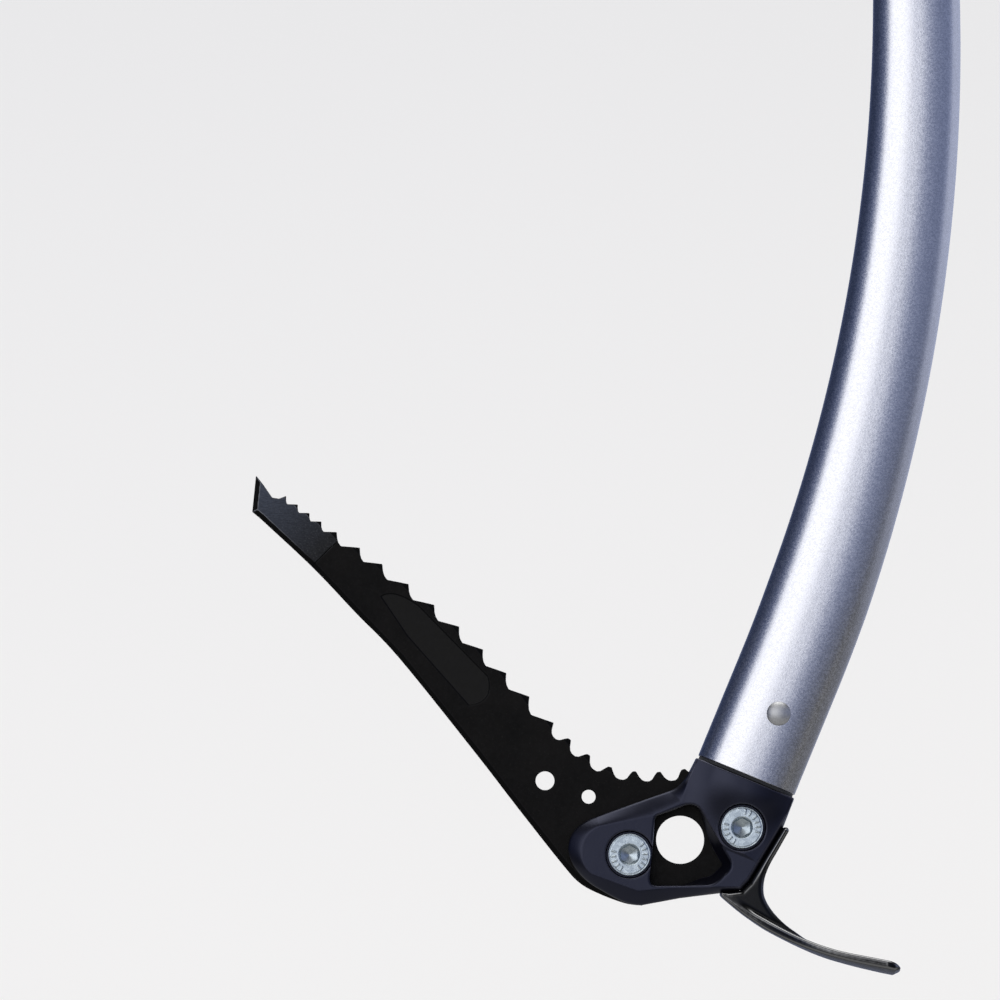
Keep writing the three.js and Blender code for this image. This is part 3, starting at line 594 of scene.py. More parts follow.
def pick_oxide():
    """Black oxide. The flats in front of the step are ground, bluer and paler towards the nose."""
    m = Finish("black_oxide_steel", Specular_IOR_Level=0.095)
    mottle = m.noise(1.3, 4.0, 0.65)
    speck = m.noise(0.55, 2.0, 0.6)
    base = m.between(m.noise(14.0, 3.0), (0.0028, 0.0024, 0.0020), (0.0068, 0.0058, 0.0050))
    base = m.mix(m.remap(speck, 0.60, 0.78, 0, 0.35), base, (0.035, 0.032, 0.028))
    depth = m.math("ABSOLUTE", m.axis("Y"))
    sunk = m.remap(depth, (PICK_HALF - 0.17) * MM, (PICK_HALF - 0.24) * MM)
    base = m.mix(sunk, base, (0.0125, 0.0118, 0.0105))

    front = m.math("SUBTRACT", m.math("MULTIPLY", m.axis("Z"), NOSE_Z), m.math("MULTIPLY", m.axis("X"), -NOSE_X))
    step = PICK_STEP * MM
    facing = m.facing()
    flat = m.remap(facing, 0.965, 0.985)
    stroke = m.strokes(3.0, (1, 1, 7), (0, 0.8, 0))
    near_step = m.between(stroke, (0.013, 0.0130, 0.0135), (0.030, 0.0305, 0.032))
    near_nose = m.between(stroke, (0.044, 0.051, 0.067), (0.096, 0.108, 0.140))
    ground = m.mix(m.remap(front, 0.166, 0.196), near_step, near_nose)
    ground = m.mix(m.remap(speck, 0.56, 0.75, 0, 0.4), ground, (0.16, 0.16, 0.165))
    # Painted shade: faces that stand across the flats, such as the bevels and sides, are painted darker than the
    # flats.
    tone = m.mix(flat, (0.0016, 0.0014, 0.0013), base)
    tone = m.mix(m.math("MULTIPLY", m.remap(front, step - 0.0003, step + 0.0003), flat), tone, ground)

    # Painted highlight: a pale line where the flats turn into the bevels towards the nose, and along the step.
    painted_highlight = m.math("MULTIPLY", m.remap(facing, 0.934, 0.944), m.remap(facing, 0.999, 0.985))
    painted_highlight = m.math("MULTIPLY", painted_highlight, m.remap(front, 0.165, 0.190, 0.03, 0.9))
    at_step = m.remap(m.math("ABSOLUTE", m.math("SUBTRACT", front, step)), 0.0004, 0.0001, 0, 0.25)
    painted_highlight = m.math("MAXIMUM", painted_highlight, m.math("MULTIPLY", at_step, flat))
    tone = m.mix(painted_highlight, tone, (0.20, 0.205, 0.22))
    # Rounded edges are paler, partly as bare worn steel and partly as a painted highlight along the bevels'
    # edges.
    worn_edge_and_highlight = m.edge_curvature(mottle, 0.5, 1.1, 1.7)
    tone = m.mix(m.math("MULTIPLY", worn_edge_and_highlight, 0.25), tone, (0.16, 0.15, 0.145))
    return m.surface(tone, mottle, (0.42, 0.60), mottle, 0.05, 0.3)


def adze_gloss():
    """Gloss black, polished by use where the edges are rounded."""
    m = Finish("gloss_black_coat", Coat_Roughness=0.07, Coat_IOR=2.5, Specular_IOR_Level=0.12)
    peel = m.noise(2.2, 2.0, 0.4)
    tone = m.between(m.noise(12.0, 3.0), (0.0025, 0.0025, 0.0032), (0.005, 0.005, 0.0065))
    facing = m.facing()
    turned = m.math("ADD", facing, m.math("MULTIPLY", m.axis("X", "Normal"), 0.2))
    polish = m.math("MULTIPLY", m.edge_curvature(m.noise(1.1, 3.0), 0.12, 0.14, 0.34), m.remap(turned, 0.985, 0.90))
    polish = m.math("MULTIPLY", polish, m.remap(facing, 0.42, 0.64, 0.03, 1.0))
    coat = m.remap(polish, 0, 1, 0.02, 1.0)
    return m.surface(tone, peel, (0.20, 0.30), peel, 0.06, 0.25, Coat_Weight=coat)


def zinc_plate():
    m = Finish("bright_zinc", Metallic=1.0)
    grain = m.noise(0.35, 3.0, 0.6)
    tone = m.between(m.cell_levels(1.1), (0.38, 0.43, 0.46), (0.54, 0.60, 0.62), low=0.1, high=0.9)
    tone = m.mix(m.remap(grain, 0.35, 0.75, 0, 0.35), tone, (0.32, 0.39, 0.44))
    return m.surface(tone, grain, (0.24, 0.40), grain, 0.03, 0.35)


def grip_rubber():
    m = Finish("matte_rubber", IOR=1.45, Sheen_Weight=0.15, Sheen_Roughness=0.6)
    grain = m.noise(0.35, 3.0, 0.6)
    cloud = m.noise(11.0, 3.0)
    tone = m.between(cloud, (0.016, 0.017, 0.019), (0.028, 0.029, 0.032))
    edge = m.add("ShaderNodeAttribute", attribute_name="edge_curvature").outputs["Fac"]
    dust = m.remap(m.math("SUBTRACT", cloud, m.math("MULTIPLY", edge, 0.3)), 0.55, 0.9, 0, 0.3)
    tone = m.mix(dust, tone, (0.06, 0.06, 0.062))
    return m.surface(tone, grain, (0.68, 0.86), grain, 0.06, 0.5)


def moulded():
    m = Finish("moulded_black_plastic", IOR=1.47)
    fine = m.noise(0.3)
    tone = m.between(m.noise(8.0), (0.020, 0.021, 0.023), (0.034, 0.035, 0.038))
    edge = m.edge_curvature(fine, 0.3, 0.6, 1.1)
    tone = m.mix(m.math("MULTIPLY", edge, 0.3), tone, (0.075, 0.076, 0.08))
    return m.surface(tone, fine, (0.46, 0.60), m.cells(0.5), 0.05, 0.35)


def closed_foam():
    m = Finish("closed_cell_foam", IOR=1.4)
    pores = m.cells(0.8)
    tone = m.between(pores, (0.03, 0.03, 0.033), (0.075, 0.075, 0.08), low=0)
    return m.use(Base_Color=tone, Roughness=m.remap(pores, 0, 0.7, 0.8, 0.95), Normal=m.relief(pores, 0.3, 0.6))


def ground_steel():
    m = Finish("ground_steel", Metallic=1.0)
    stroke = m.strokes(4.0, (12, 12, 1))
    tone = m.between(stroke, (0.33, 0.33, 0.34), (0.55, 0.55, 0.55))
    tone = m.mix(m.remap(m.noise(2.5, 3.0), 0.45, 0.75, 0, 0.4), tone, (0.26, 0.25, 0.25))
    return m.surface(tone, stroke, (0.26, 0.42), stroke, 0.03, 0.3)


FINISHES = {
    "head_paint": head_coat(), "pick_steel": pick_oxide(), "adze_paint": adze_gloss(), "zinc": zinc_plate(),
    "shaft_aluminium": shaft_metal(), "rivet_metal": satin_rivet(), "rubber": grip_rubber(),
    "moulded_plastic": moulded(), "foam": closed_foam(), "spike_steel": ground_steel(),
}


# ---- head

BORDER_DROP, BORDER_POWER = 2.6, 1.35  # how far the cheek's sloping border falls, and how it is rounded
COLLAR_HEIGHT = 24.0
TANG_END = 38.0  # along the shaft's line
TANG_INSET = 5.2  # of the tang's hollow, from the tube's outside
TANG_RIVET_HOLE = 3.3
WINDOW_DRAFT = 3.0  # how much the window widens towards the cheek on its rear side


def head_outline():
    front, rear = on_shaft([-HALF_WIDTHS[0], HALF_WIDTHS[0]], 0, 0)[:, [0, 2]]
    shape = Outline(*front)
    shape.curve((-1, 24.6), (-3.2, 21), (-8, 19.6))
    shape.line((-31.5, 11.4))
    shape.curve((-40, 8.6), (-42.7, 4.6), (-42.7, -0.7))
    shape.curve((-42.2, -6.6), (-37, -12), (-31.5, -14.7))
    shape.curve((-26.5, -17.6), (-21.5, -20.6), (-16.5, -20.0))
    shape.line((-3.5, -17.6), (17.6, -15.0), (20.7, -11.9), (32.1, 7.0), rear)
    return shape


def cheek_flat():
    """The flat inside the cheek's sloping border."""
    shape = Outline(-31.9, 7.4)
    shape.line((-12.6, 11.2), (-3, 16), (4, 40), (60, 40), (38, 16), (30.9, 7.5), (19.7, -11.0), (17.1, -13.8))
    shape.line((-2.8, -13.7), (-18.2, -15.0), (-23.1, -13.3), (-34.5, -9.2))
    shape.curve((-39.4, -6), (-39.6, 4.6), (-31.9, 7.4))
    return shape


def head_window():
    shape = Outline(-10.6, 11.6)
    shape.line((-1.6, 14.9))
    shape.bend((1.9, 15.6), (3.6, 12.8))
    shape.line((13.6, -4.0))
    shape.bend((15.2, -7.4), (11.9, -9.5))
    shape.bend((8.9, -13.3), (5.2, -13.3))
    shape.line((-11.6, -13.3))
    shape.bend((-14.6, -13.3), (-14.2, -10.2))
    shape.line((-12.6, 9.4))
    shape.bend((-12.2, 11.4), (-10.6, 11.6))
    return shape


def slot_outline():
    """Where the head is slotted for the pick: below the collar and above the bar that closes the fork."""
    front, rear = on_shaft([-120, 60], 0, -5)[:, [0, 2]]
    return Outline(*front).line(rear, (80, -14.0), (-15.6, -14.0), (-16.4, -40), (-90, -40))


def bolt_bores(field, x, y, z):
    """The shank's hole and the counterbores for both bolts."""
    for bolt in (FRONT_BOLT, REAR_BOLT):
        field = without(field, cylinder(x, z, bolt, SHANK_RADIUS + GAP))
        counterbore = both(cylinder(x, z, bolt, COUNTERBORE_RADIUS), BOLT_SEAT - np.abs(y))
        field = without(field, counterbore, 0.35)
    return field


def build_head():
    space, x, y, z = space_round("head", step=0.36)
    outline = inside_of(head_outline(), x, z)
    flat = inside_of(cheek_flat(), x, z)
    border = np.clip(flat, 0, None) / np.maximum(np.clip(flat, 0, None) - outline, 1e-3)
    half = CHEEK_HALF - BORDER_DROP * np.clip(border, 0, 1) ** BORDER_POWER
    cheeks = both(outline, np.abs(y) - half, 0.7)

    u = (x - COLLAR_X) * math.cos(HEAD_TILT) - (z - COLLAR_Z) * math.sin(HEAD_TILT)
    s = (x - COLLAR_X) * math.sin(HEAD_TILT) + (z - COLLAR_Z) * math.cos(HEAD_TILT)
    depth = mixed(HALF_DEPTHS[0], CHEEK_HALF, eased(-s, 3, COLLAR_HEIGHT)).astype(np.float32)
    collar = both(tube_field(u, y, HALF_WIDTHS[0], depth), outline, 0.8)
    collar = both(both(collar, s, 0.3), -COLLAR_HEIGHT - s)
    body = both(either(cheeks, collar, 2.0), s, 0.3)

    window = inside_of(head_window(), x, z)
    draft = 0.3 + WINDOW_DRAFT * eased(x, -4, 6) * eased(-z, -16, 2)
    body = without(body, window + draft * np.clip((CHEEK_HALF - np.abs(y)) / 6.2, 0, 1), 0.7)

    inset = TUBE_WALL + GAP
    tang = both(tube_field(u, y, HALF_WIDTHS[0] - inset, HALF_DEPTHS[0] - inset), s - TANG_END, 0.4)
    hollow = both(tube_field(u, y, HALF_WIDTHS[0] - TANG_INSET, HALF_DEPTHS[0] - TANG_INSET), 7 - s)
    tang = both(without(tang, hollow), -2 - s)
    tang = without(tang, cylinder(x, z, HEAD_RIVET, TANG_RIVET_HOLE))
    body = np.minimum(body, tang)

    slot = both(inside_of(slot_outline(), x, z), np.abs(y) - SLOT_HALF)
    body = bolt_bores(without(body, slot, 0.2), x, y, z)
    carved("head_body", space, body, "axe", "head_paint", ["head"])


# ---- pick

TOOTH_LINE = [(-141.4, 123.2), (-129.2, 114.3), (-107.8, 99.4), (-82.3, 78.8), (-56.3, 53.0),
              (-41.6, 37.6), (-27.6, 28.2), (-11.2, 26.6), (-1.8, 27.6)]
# A tooth from its point to the next one: how far along, as a share of the tooth, and how deep, as a share
# of its depth. Saw teeth run straight up to a sharp point; the others have a round gullet and a flat top.
SAW_TOOTH = [(0, 0), (0.05, 0.2), (0.15, 0.56), (0.27, 0.85), (0.41, 1.0)]
ROUND_TOOTH = [(0, 0), (0.05, 0.2), (0.15, 0.6), (0.26, 0.88), (0.38, 1.0), (0.54, 1.0), (0.66, 0.8),
               (0.78, 0.3), (0.86, 0.04)]
# How many teeth, their share of the line, their depth and shape.
TOOTH_GROUPS = [(3, 5.05, 2.1, SAW_TOOTH), (1, 6.5, 2.5, SAW_TOOTH), (2, 9.7, 3.3, SAW_TOOTH),
                (6, 11.5, 3.4, SAW_TOOTH), (1, 12.4, 4.0, SAW_TOOTH), (6, 8.55, 3.4, ROUND_TOOTH)]
SPINE = [(-16.7, -20.2), (-22.75, -19.4), (-31.5, -16.2), (-38.5, -12.4), (-44.5, -6.0), (-60, 13.6),
         (-75.6, 33.8), (-101.9, 66.5), (-117, 82.2), (-132, 98.0), (-150.5, 115.3)]
EDGE_BEVEL, EDGE_BEVEL_WIDTH = 0.75, 1.9
TOOTH_BEVEL_SLOPE = 0.45
POCKET_DEPTH = 0.3
PICK_HOLES = [(-3.5, 2.8, 8.4), (-50.75, 23.45, 3.3), (-35.5, 17.85, 2.45)]


def along_line(path, distance):
    """The place at a distance along a fine path, and the path's direction there."""
    legs = np.diff(path, axis=0)
    lengths = np.hypot(*legs.T)
    travelled = np.concatenate([[0], np.cumsum(lengths)])
    i = min(np.searchsorted(travelled, distance, "right") - 1, len(legs) - 1)
    return path[i] + legs[i] * (distance - travelled[i]) / lengths[i], legs[i] / lengths[i]


def pick_outline():
    """The pick's outline and, for each tooth, the line of the bevel behind its point."""
    shape = Outline(-152.0, 130.4).line((-149.4, 127.1), (-146.3, 122.6), (-143.9, 122.2))
    path = np.array(spline(TOOTH_LINE, 12))
    length = np.hypot(*np.diff(path, axis=0).T).sum()
    unit = length / sum(count * pitch for count, pitch, _, _ in TOOTH_GROUPS)
    travelled = 0.0
    bevels = []
    for count, pitch, depth, profile in TOOTH_GROUPS:
        for _ in range(count):
            def inward(share, part):
                place, direction = along_line(path, max(travelled + share * pitch * unit, 0))
                return place + part * depth * np.array([direction[1], -direction[0]])
            bevels.append((inward(-0.34, 0.42), inward(0.14, 0.66), inward(0, 0)))
            shape.line(*[inward(share, part) for share, part in profile])
            travelled += pitch * unit
    seat_front, seat_rear = on_shaft([-16, -7], 0, -5.4)[:, [0, 2]]
    shape.line((-1.8, 27.6), (0.6, 25.6), seat_front, seat_rear)
    for turn in np.linspace(2.05, 4.15, 16):
        shape.line(REAR_BOLT + (ADZE_EYE_RADIUS + GAP) * np.array([math.cos(turn), math.sin(turn)]))
    shape.line((12.2, -13.6), (-15.9, -13.6), SPINE[0])
    shape.through(*SPINE[1:])
    shape.line((-153.3, 117.6))
    return shape, bevels


def build_pick():
    space, x, y, z = space_round("pick", step=0.27)
    shape, bevels = pick_outline()
    outline = inside_of(shape, x, z)
    edge = distance_to_path([(-151.8, 132.4), (-153.3, 117.6)] + SPINE[::-1][:9], x, z)
    half = PICK_HALF - EDGE_BEVEL * np.clip(1 - edge / EDGE_BEVEL_WIDTH, 0, 1)
    half = np.where(NOSE_X * x + NOSE_Z * z > PICK_STEP, half - (PICK_HALF - PICK_TIP_HALF), half)
    for (ax, az), (bx, bz), (tip_x, tip_z) in bevels:
        reach = math.hypot(bx - ax, bz - az)
        beyond = ((x - ax) * (az - bz) + (z - az) * (bx - ax)) / reach
        close = np.hypot(x - tip_x, z - tip_z) < 0.9 * reach
        half = np.where(close, half - TOOTH_BEVEL_SLOPE * np.clip(beyond, 0, 2.2), half)
    pocket = Outline(-108.6, 88.0).bend((-104, 91.4), (-95, 85.0)).line((-70.5, 60.0))
    pocket.bend((-68, 50.5), (-77.5, 49.5)).line((-99.0, 73.8))
    recess = np.clip(-inside_of(pocket, x, z) / 0.5, 0, 1)
    half = half - POCKET_DEPTH * recess
    field = both(outline, np.abs(y) - half, 0.12)
    for hole_x, hole_z, radius in PICK_HOLES:
        field = without(field, cylinder(x, z, (hole_x, hole_z), radius), 0.4)
    field = without(field, cylinder(x, z, FRONT_BOLT, SHANK_RADIUS + GAP))
    carved("pick_blade", space, field, "axe", "pick_steel", ["pick"])


# ---- adze

ADZE_DISH = 1.8
ADZE_HALF = 27.0


def blade_profile():
    shape = Outline(10.8, -15.95)
    shape.curve((24, -24.0), (38, -31.6), (52.5, -35.6))
    shape.curve((58, -37), (63, -37.9), (68.2, -39.2))
    shape.bend((71.6, -39.8), (72.9, -41.6))
    shape.line((70.6, -42.7))
    shape.curve((54, -39.4), (39, -34.9), (26.4, -28.6))
    shape.curve((20, -25), (15.4, -21.2), (10.4, -16.6))
    return shape


def neck_profile():
    shape = Outline(10.9, -15.86).line((17.67, -15.03), (20.76, -11.95), (32.3, 6.9))
    shape.bend((34.2, 7.6), (34.4, 5.8))
    shape.line((29.9, -2.1))
    shape.curve((26.2, -8), (25.0, -12), (25.6, -16.4))
    shape.curve((26.4, -20), (30, -25), (36.5, -29.4))
    shape.line((43, -34.6), (40, -34.0), (34, -31), (20, -23))
    return shape


def blade_plan():
    """The blade from above, with y in place of z."""
    tip = ADZE_HALF
    shape = Outline(10, -8).curve((28, -9), (35, -18.8), (50, -22.6)).line((68, -tip))
    shape.bend((72.4, -tip), (73.2, 5 - tip)).bend((74.8, 0), (73.2, tip - 5)).bend((72.4, tip), (68, tip))
    shape.line((50, 22.6)).curve((35, 18.8), (28, 9), (10, 8))
    return shape


def build_adze():
    space, x, y, z = space_round("adze", step=0.36)
    fine_z = np.arange(space.z.min() - 1, space.z.max() + 4, 0.2, dtype=np.float32)[None, None, :]
    profile = inside_of(blade_profile(), x, fine_z)[:, 0, :]
    dish = eased(x, 20, 50) * ADZE_DISH * (1 - (y / ADZE_HALF) ** 2)
    rows = (z + dish - fine_z[0, 0, 0]) / 0.2
    base = np.clip(np.floor(rows).astype(int), 0, profile.shape[1] - 2)
    columns = np.arange(profile.shape[0])[:, None, None]
    share = rows - base
    blade = (1 - share) * profile[columns, base] + share * profile[columns, base + 1]
    plan = inside_of(blade_plan(), x, y)
    blade = both(blade, plan, 1.1)
    neck = both(inside_of(neck_profile(), x, z), np.abs(y) - CHEEK_HALF, 2.0)
    eye = both(cylinder(x, z, REAR_BOLT, ADZE_EYE_RADIUS), np.abs(y) - PICK_HALF, 0.2)
    web = Outline(18, 14.4).line((31, 8), (33, 6), (22.6, -11.2), (18, -0.4))
    web = both(inside_of(web, x, z), np.abs(y) - PICK_HALF, 0.2)
    body = either(blade, neck, 1.6)
    body = either(body, np.minimum(eye, web), 0.3)
    body = without(body, cylinder(x, z, REAR_BOLT, SHANK_RADIUS + GAP))
    carved("adze_blade", space, body, "axe", "adze_paint", ["adze"])


# ---- bolts and rivets


def hexagon(x, z, centre, across_corners):
    """Distance to a hexagonal bore with two corners up and down."""
    u, w = np.abs(x - centre[0]), np.abs(z - centre[1])
    flat = across_corners / 2 * math.cos(math.pi / 6)
    return np.maximum(u, 0.5 * u + math.cos(math.pi / 6) * w) - flat


def ticks(x, z, centre, turns, inner, outer, width):
    """Short raised radial marks round a bolt's head."""
    best = 1e3
    for turn in turns:
        across = (x - centre[0]) * math.cos(turn) + (z - centre[1]) * math.sin(turn)
        aside = (z - centre[1]) * math.cos(turn) - (x - centre[0]) * math.sin(turn)
        mark = np.maximum(np.maximum(inner - across, across - outer), np.abs(aside) - width / 2)
        best = np.minimum(best, mark)
    return best


def build_bolt(node, centre, turned, is_nut=False):
    """A round head with a hex socket and its shank, or the sleeve nut on the other side."""
    space, x, y, z = space_round(node, step=0.2, margin=0.8)
    out = 1 if is_nut else -1
    depth = out * y  # rises towards the outside
    face = CHEEK_HALF - 0.3
    head = both(cylinder(x, z, centre, 7.45), depth - (face - 0.18), 0.45)
    head = both(head, (face - 3.1) - depth, 0.15)
    marks = ticks(x, z, centre, turned, 4.75, 6.45, 0.42)
    head = np.minimum(head, both(both(marks, depth - face), face - 1 - depth))
    groove = np.abs(np.hypot(x - centre[0], z - centre[1]) - 6.85) - 0.12
    head = without(head, both(groove, (face - 0.3) - depth), 0.08)
    if is_nut:
        sleeve = both(cylinder(x, z, centre, 5.4), np.maximum(face - 5.5 - depth, depth - face + 2))
        head = without(np.minimum(head, sleeve), both(cylinder(x, z, centre, SHANK_RADIUS + GAP), depth - 6.3))
        socket_floor = face - 1.2
    else:
        shank = both(cylinder(x, z, centre, SHANK_RADIUS), np.maximum(-6.0 - depth, depth - face + 1), 0.4)
        head = np.minimum(head, shank)
        socket_floor = face - 2.3
    cone = 0.35 * np.hypot(x - centre[0], z - centre[1])
    socket = both(hexagon(x, z, centre, 6.9), socket_floor - 0.8 + cone - depth)
    lead_in = cylinder(x, z, centre, 3.75) + 0.9 * (face - 0.18 - depth)
    head = without(head, np.minimum(socket, np.maximum(lead_in, face - 1 - depth)), 0.1)
    carved(f"{node}_fine", space, head, "axe", "zinc", [node])


def build_rivet(node, centre, face, shank, dome_radius, dome_height, steps=14, sides=64):
    """A rivet through the tube along Y, with a low dome at both ends."""
    half = []
    for i in range(steps + 1):
        turn = math.pi / 2 * i / steps
        half.append((dome_radius * math.sin(turn), -face - dome_height * math.cos(turn) ** 1.3))
    half += [(dome_radius, -face + 0.02), (shank, -face + 0.04)]
    profile = half + [(radius, -y) for radius, y in reversed(half)]
    points = [(centre[0], profile[0][1], centre[1])]
    for radius, y in profile[1:-1]:
        points += [(x, y, z) for x, z in circle(radius, sides, centre)]
    last = len(points) - sides
    points.append((centre[0], profile[-1][1], centre[1]))
    faces = turned_faces(len(profile) - 2, sides)
    faces += [(last + (i + 1) % sides, last + i, len(points) - 1) for i in range(sides)]
    sharpen(new_piece(f"{node}_fine", points, faces, "axe", "rivet_metal", [node]), 30)


def build_fasteners():
    lower_left = np.radians([168, 186, 204, 222, 240])
    right = np.radians([-52, -34, -16, 2, 20, 38])
    upper = np.radians([60, 78])
    build_bolt("front_bolt", FRONT_BOLT, np.concatenate([lower_left, right]))
    build_bolt("front_nut", FRONT_BOLT, [], is_nut=True)
    build_bolt("rear_bolt", REAR_BOLT, np.concatenate([lower_left, right[2:], upper]))
    build_bolt("rear_nut", REAR_BOLT, [], is_nut=True)
    build_rivet("head_rivet", HEAD_RIVET, HALF_DEPTHS[0] + 0.15, 3.0, 4.2, 1.7)
    for i, centre in enumerate(SPIKE_RIVETS):
        build_rivet(f"spike_rivet_{i + 1}", centre, HALF_DEPTHS[1] + 0.15, 2.4, 3.6, 1.2)


# ---- shaft and grip


def build_shaft():
    end = at_height(TUBE_END_Z)
    rows = tube_rows(TUBE_START - 0.25, end, 0.0, TUBE_WALL, 170, 0.2)
    lofted("shaft_tube_fine", rows, "axe", "shaft_aluminium", ["shaft_tube"])
    seal = tube_rows(0.05, GAP + 0.8, 0.5, TUBE_WALL, 3, 0.15)
    lofted("head_seal_fine", seal, "axe", "rubber", ["head_seal"], ribbed=False)
    low, high = corners("grip_band")
    start, finish = at_height(low[2]), at_height(high[2])
    band = tube_rows(start, finish, -3.0, -GAP, 6, 0.5)
    lofted("grip_band_fine", band, "axe", "moulded_plastic", ["grip_band"], ribbed=False)


def build_grip():
    """The rubber sleeve: finger swells in front, rows of small ribs, and holes over the rivets."""
    space, x, y, z = space_round("grip_sleeve", step=0.42)
    low, high = corners("grip_sleeve")
    u = x - HANDLE_X
    share = (z - low[2]) / (high[2] - low[2])
    wave = 0.5 - 0.5 * np.cos(2 * np.pi * 4 * share)
    swollen = np.where(u < 0, u / (1 + 0.07 * wave), u)
    half_width, half_depth = HALF_WIDTHS[1] + 2.6, HALF_DEPTHS[1] + 2.6
    turn = np.arctan2(y / half_depth, u / half_width)
    rib = np.clip(np.cos(2 * np.pi * (z - low[2]) / 3.1 + 2.4 * np.abs(np.sin(turn))), -0.2, 0.75)
    panel = eased(np.abs(np.cos(turn)), 0.35, 0.55) * eased(share, 0.03, 0.07) * eased(1 - share, 0.03, 0.07)
    depth_cut = 0.55 * (0.75 - rib) / 0.95 * panel
    outer = tube_field(swollen, y, half_width, half_depth) + depth_cut
    inner = tube_field(u, y, HALF_WIDTHS[1] + GAP, HALF_DEPTHS[1] + GAP)
    body = without(both(outer, slab(z, low[2], high[2]), 0.8), inner)
    for centre in SPIKE_RIVETS:
        body = without(body, cylinder(x, z, centre, 4.0), 0.5)
    carved("grip_sleeve_fine", space, body, "axe", "rubber", ["grip_sleeve"])


# ---- trigger


def build_trigger():
    space, x, y, z = space_round("trigger_body", step=0.36)
    top = corners("trigger_body")[1][2]
    u = x - HANDLE_X
    clearance, wall = 0.75, 2.4
    half_width, half_depth = HALF_WIDTHS[1] + clearance, HALF_DEPTHS[1] + clearance
    ring = both(tube_field(u, y, half_width + wall, half_depth + wall), slab(z, top - 19, top), 1.0)
    root = -HALF_WIDTHS[1] - clearance - wall + 1.2
    tip = root - 27
    spur = Outline(root + 3, top - 1)
    spur.line((root, top - 1))
    spur.curve((root - 6, top - 3), (tip + 10, top - 5), (tip + 2, top - 9))
    spur.bend((tip - 2.5, top - 12.5), (tip, top - 17))
    spur.bend((tip + 3, top - 19.4), (tip + 6, top - 16.4))
    spur.curve((tip + 11, top - 10.5), (root - 7, top - 12), (root, top - 18))
    spur.line((root + 3, top - 18))
    hook = both(inside_of(spur, u, z), np.abs(y) - 5.5, 1.6)
    beside_screw = np.abs(z - TRIGGER_SCREW[1]) - 6
    ears = both(both(slab(u, 16.5, 26), np.abs(y) - 5.2, 0.6), beside_screw, 1.5)
    body = either(either(ring, hook, 2.0), ears, 1.0)
    body = without(body, tube_field(u, y, half_width, half_depth))
    pad = np.maximum(np.maximum(np.abs(u + 16.6) - 1.0, np.abs(y) - 6), beside_screw)
    body = without(body, pad)
    body = without(body, np.maximum(np.abs(y) - 0.8, 15 - u), 0.2)
    body = without(body, cylinder(x, z, TRIGGER_SCREW, 2.2))
    body = without(body, both(cylinder(x, z, TRIGGER_SCREW, 3.7), 3.4 - np.abs(y)), 0.3)
    carved("trigger_body_fine", space, body, "trigger", "moulded_plastic", ["trigger_body"])


# ---- spike end and grip rest


def spike_outline(grow=0.0):
    root = 11.5 + grow
    low, high = corners("spike")
    tip = high[2]
    shape = Outline(-root, low[2] - grow).line((root, low[2] - grow), (root, 444))
    shape.curve((root, 458), (7, 466), (1.2, tip))
    shape.line((-1.6, tip))
    shape.curve((-5, 470), (-root, 462), (-root, 444))
    return shape


def build_spike():
    space, x, y, z = space_round("spike", step=0.3)
    outline = inside_of(spike_outline(), x - HANDLE_X, z)
    edge = 1.1 * np.clip(1 + outline / 3.2, 0, 1) * eased(z, 441, 446)
    field = both(outline, np.abs(y) - (2.2 - edge), 0.3)
    field = without(field, cylinder(x, z, (HANDLE_X, 452), 4.6), 0.6)
    for centre in SPIKE_RIVETS:
        field = without(field, cylinder(x, z, centre, 2.7))
    carved("spike_fine", space, field, "axe", "spike_steel", ["spike"])


def build_ferrule():
    space, x, y, z = space_round("end_ferrule", step=0.36)
    low, high = corners("end_ferrule")
    u = x - HANDLE_X
    half_width, half_depth = HALF_WIDTHS[1] + 3.0, HALF_DEPTHS[1] + 3.0
    shell = both(tube_field(u, y, half_width, half_depth), slab(z, low[2], high[2]), 1.2)
    pin_x, pin_z = REST_PIN
    reach = HANDLE_X - HALF_WIDTHS[1]
    lug = Outline(reach, pin_z - 5.6).line((reach, pin_z + 5.6), (pin_x, pin_z + 5))
    lug.bend((pin_x - 5, pin_z + 5), (pin_x - 5, pin_z)).bend((pin_x - 5, pin_z - 5), (pin_x, pin_z - 5))
    lugs = both(inside_of(lug, x, z), np.abs(np.abs(y) - 8.0) - 1.6, 0.5)
    body = either(shell, lugs, 0.8)
    bore = both(tube_field(u, y, HALF_WIDTHS[1] + GAP, HALF_DEPTHS[1] + GAP), z - TUBE_END_Z - GAP)
    body = without(body, bore)
    body = without(body, both(inside_of(spike_outline(GAP), u, z), np.abs(y) - 2.5), 0.2)
    body = without(body, cylinder(x, z, REST_PIN, 1.9), 0.2)
    carved("end_ferrule_fine", space, body, "axe", "moulded_plastic", ["end_ferrule"])


def build_rest():
    space, x, y, z = space_round("grip_rest", step=0.32)
    pin_x, pin_z = REST_PIN
    u, w = x - pin_x, z - pin_z
    tip = -32
    shape = Outline(0, 3.9).curve((-10, 4.4), (tip + 8, 3.4), (tip, -2.2))
    shape.bend((tip - 2.6, -6.2), (tip + 1.8, -6.8))
    shape.curve((tip + 9, -2.4), (-12, -0.6), (-3, -1.6)).line((0, -2))
    arm = both(inside_of(shape, u, w), np.abs(y) - 8.8, 1.3)
    notch = np.maximum(np.maximum(-7.6 - u, u - 6.4), 5.0 - np.abs(y))
    arm = without(arm, notch, 0.3)
    groove = np.abs(((u + 100) % 4.0) - 2.0) - 0.5
    treads = both(groove, np.maximum(np.maximum(u + 12, tip + 3 - u), w + 40))
    arm = without(arm, both(treads, np.abs(y) - 6.4) + 0.35, 0.2)
    knuckle = both(cylinder(x, z, REST_PIN, 3.9), np.abs(y) - 5.0, 0.4)
    body = without(either(arm, knuckle, 0.8), cylinder(x, z, REST_PIN, 1.9), 0.2)
    carved("grip_rest_fine", space, body, "rest", "moulded_plastic", ["grip_rest"])


# ---- carried-over CAD nodes


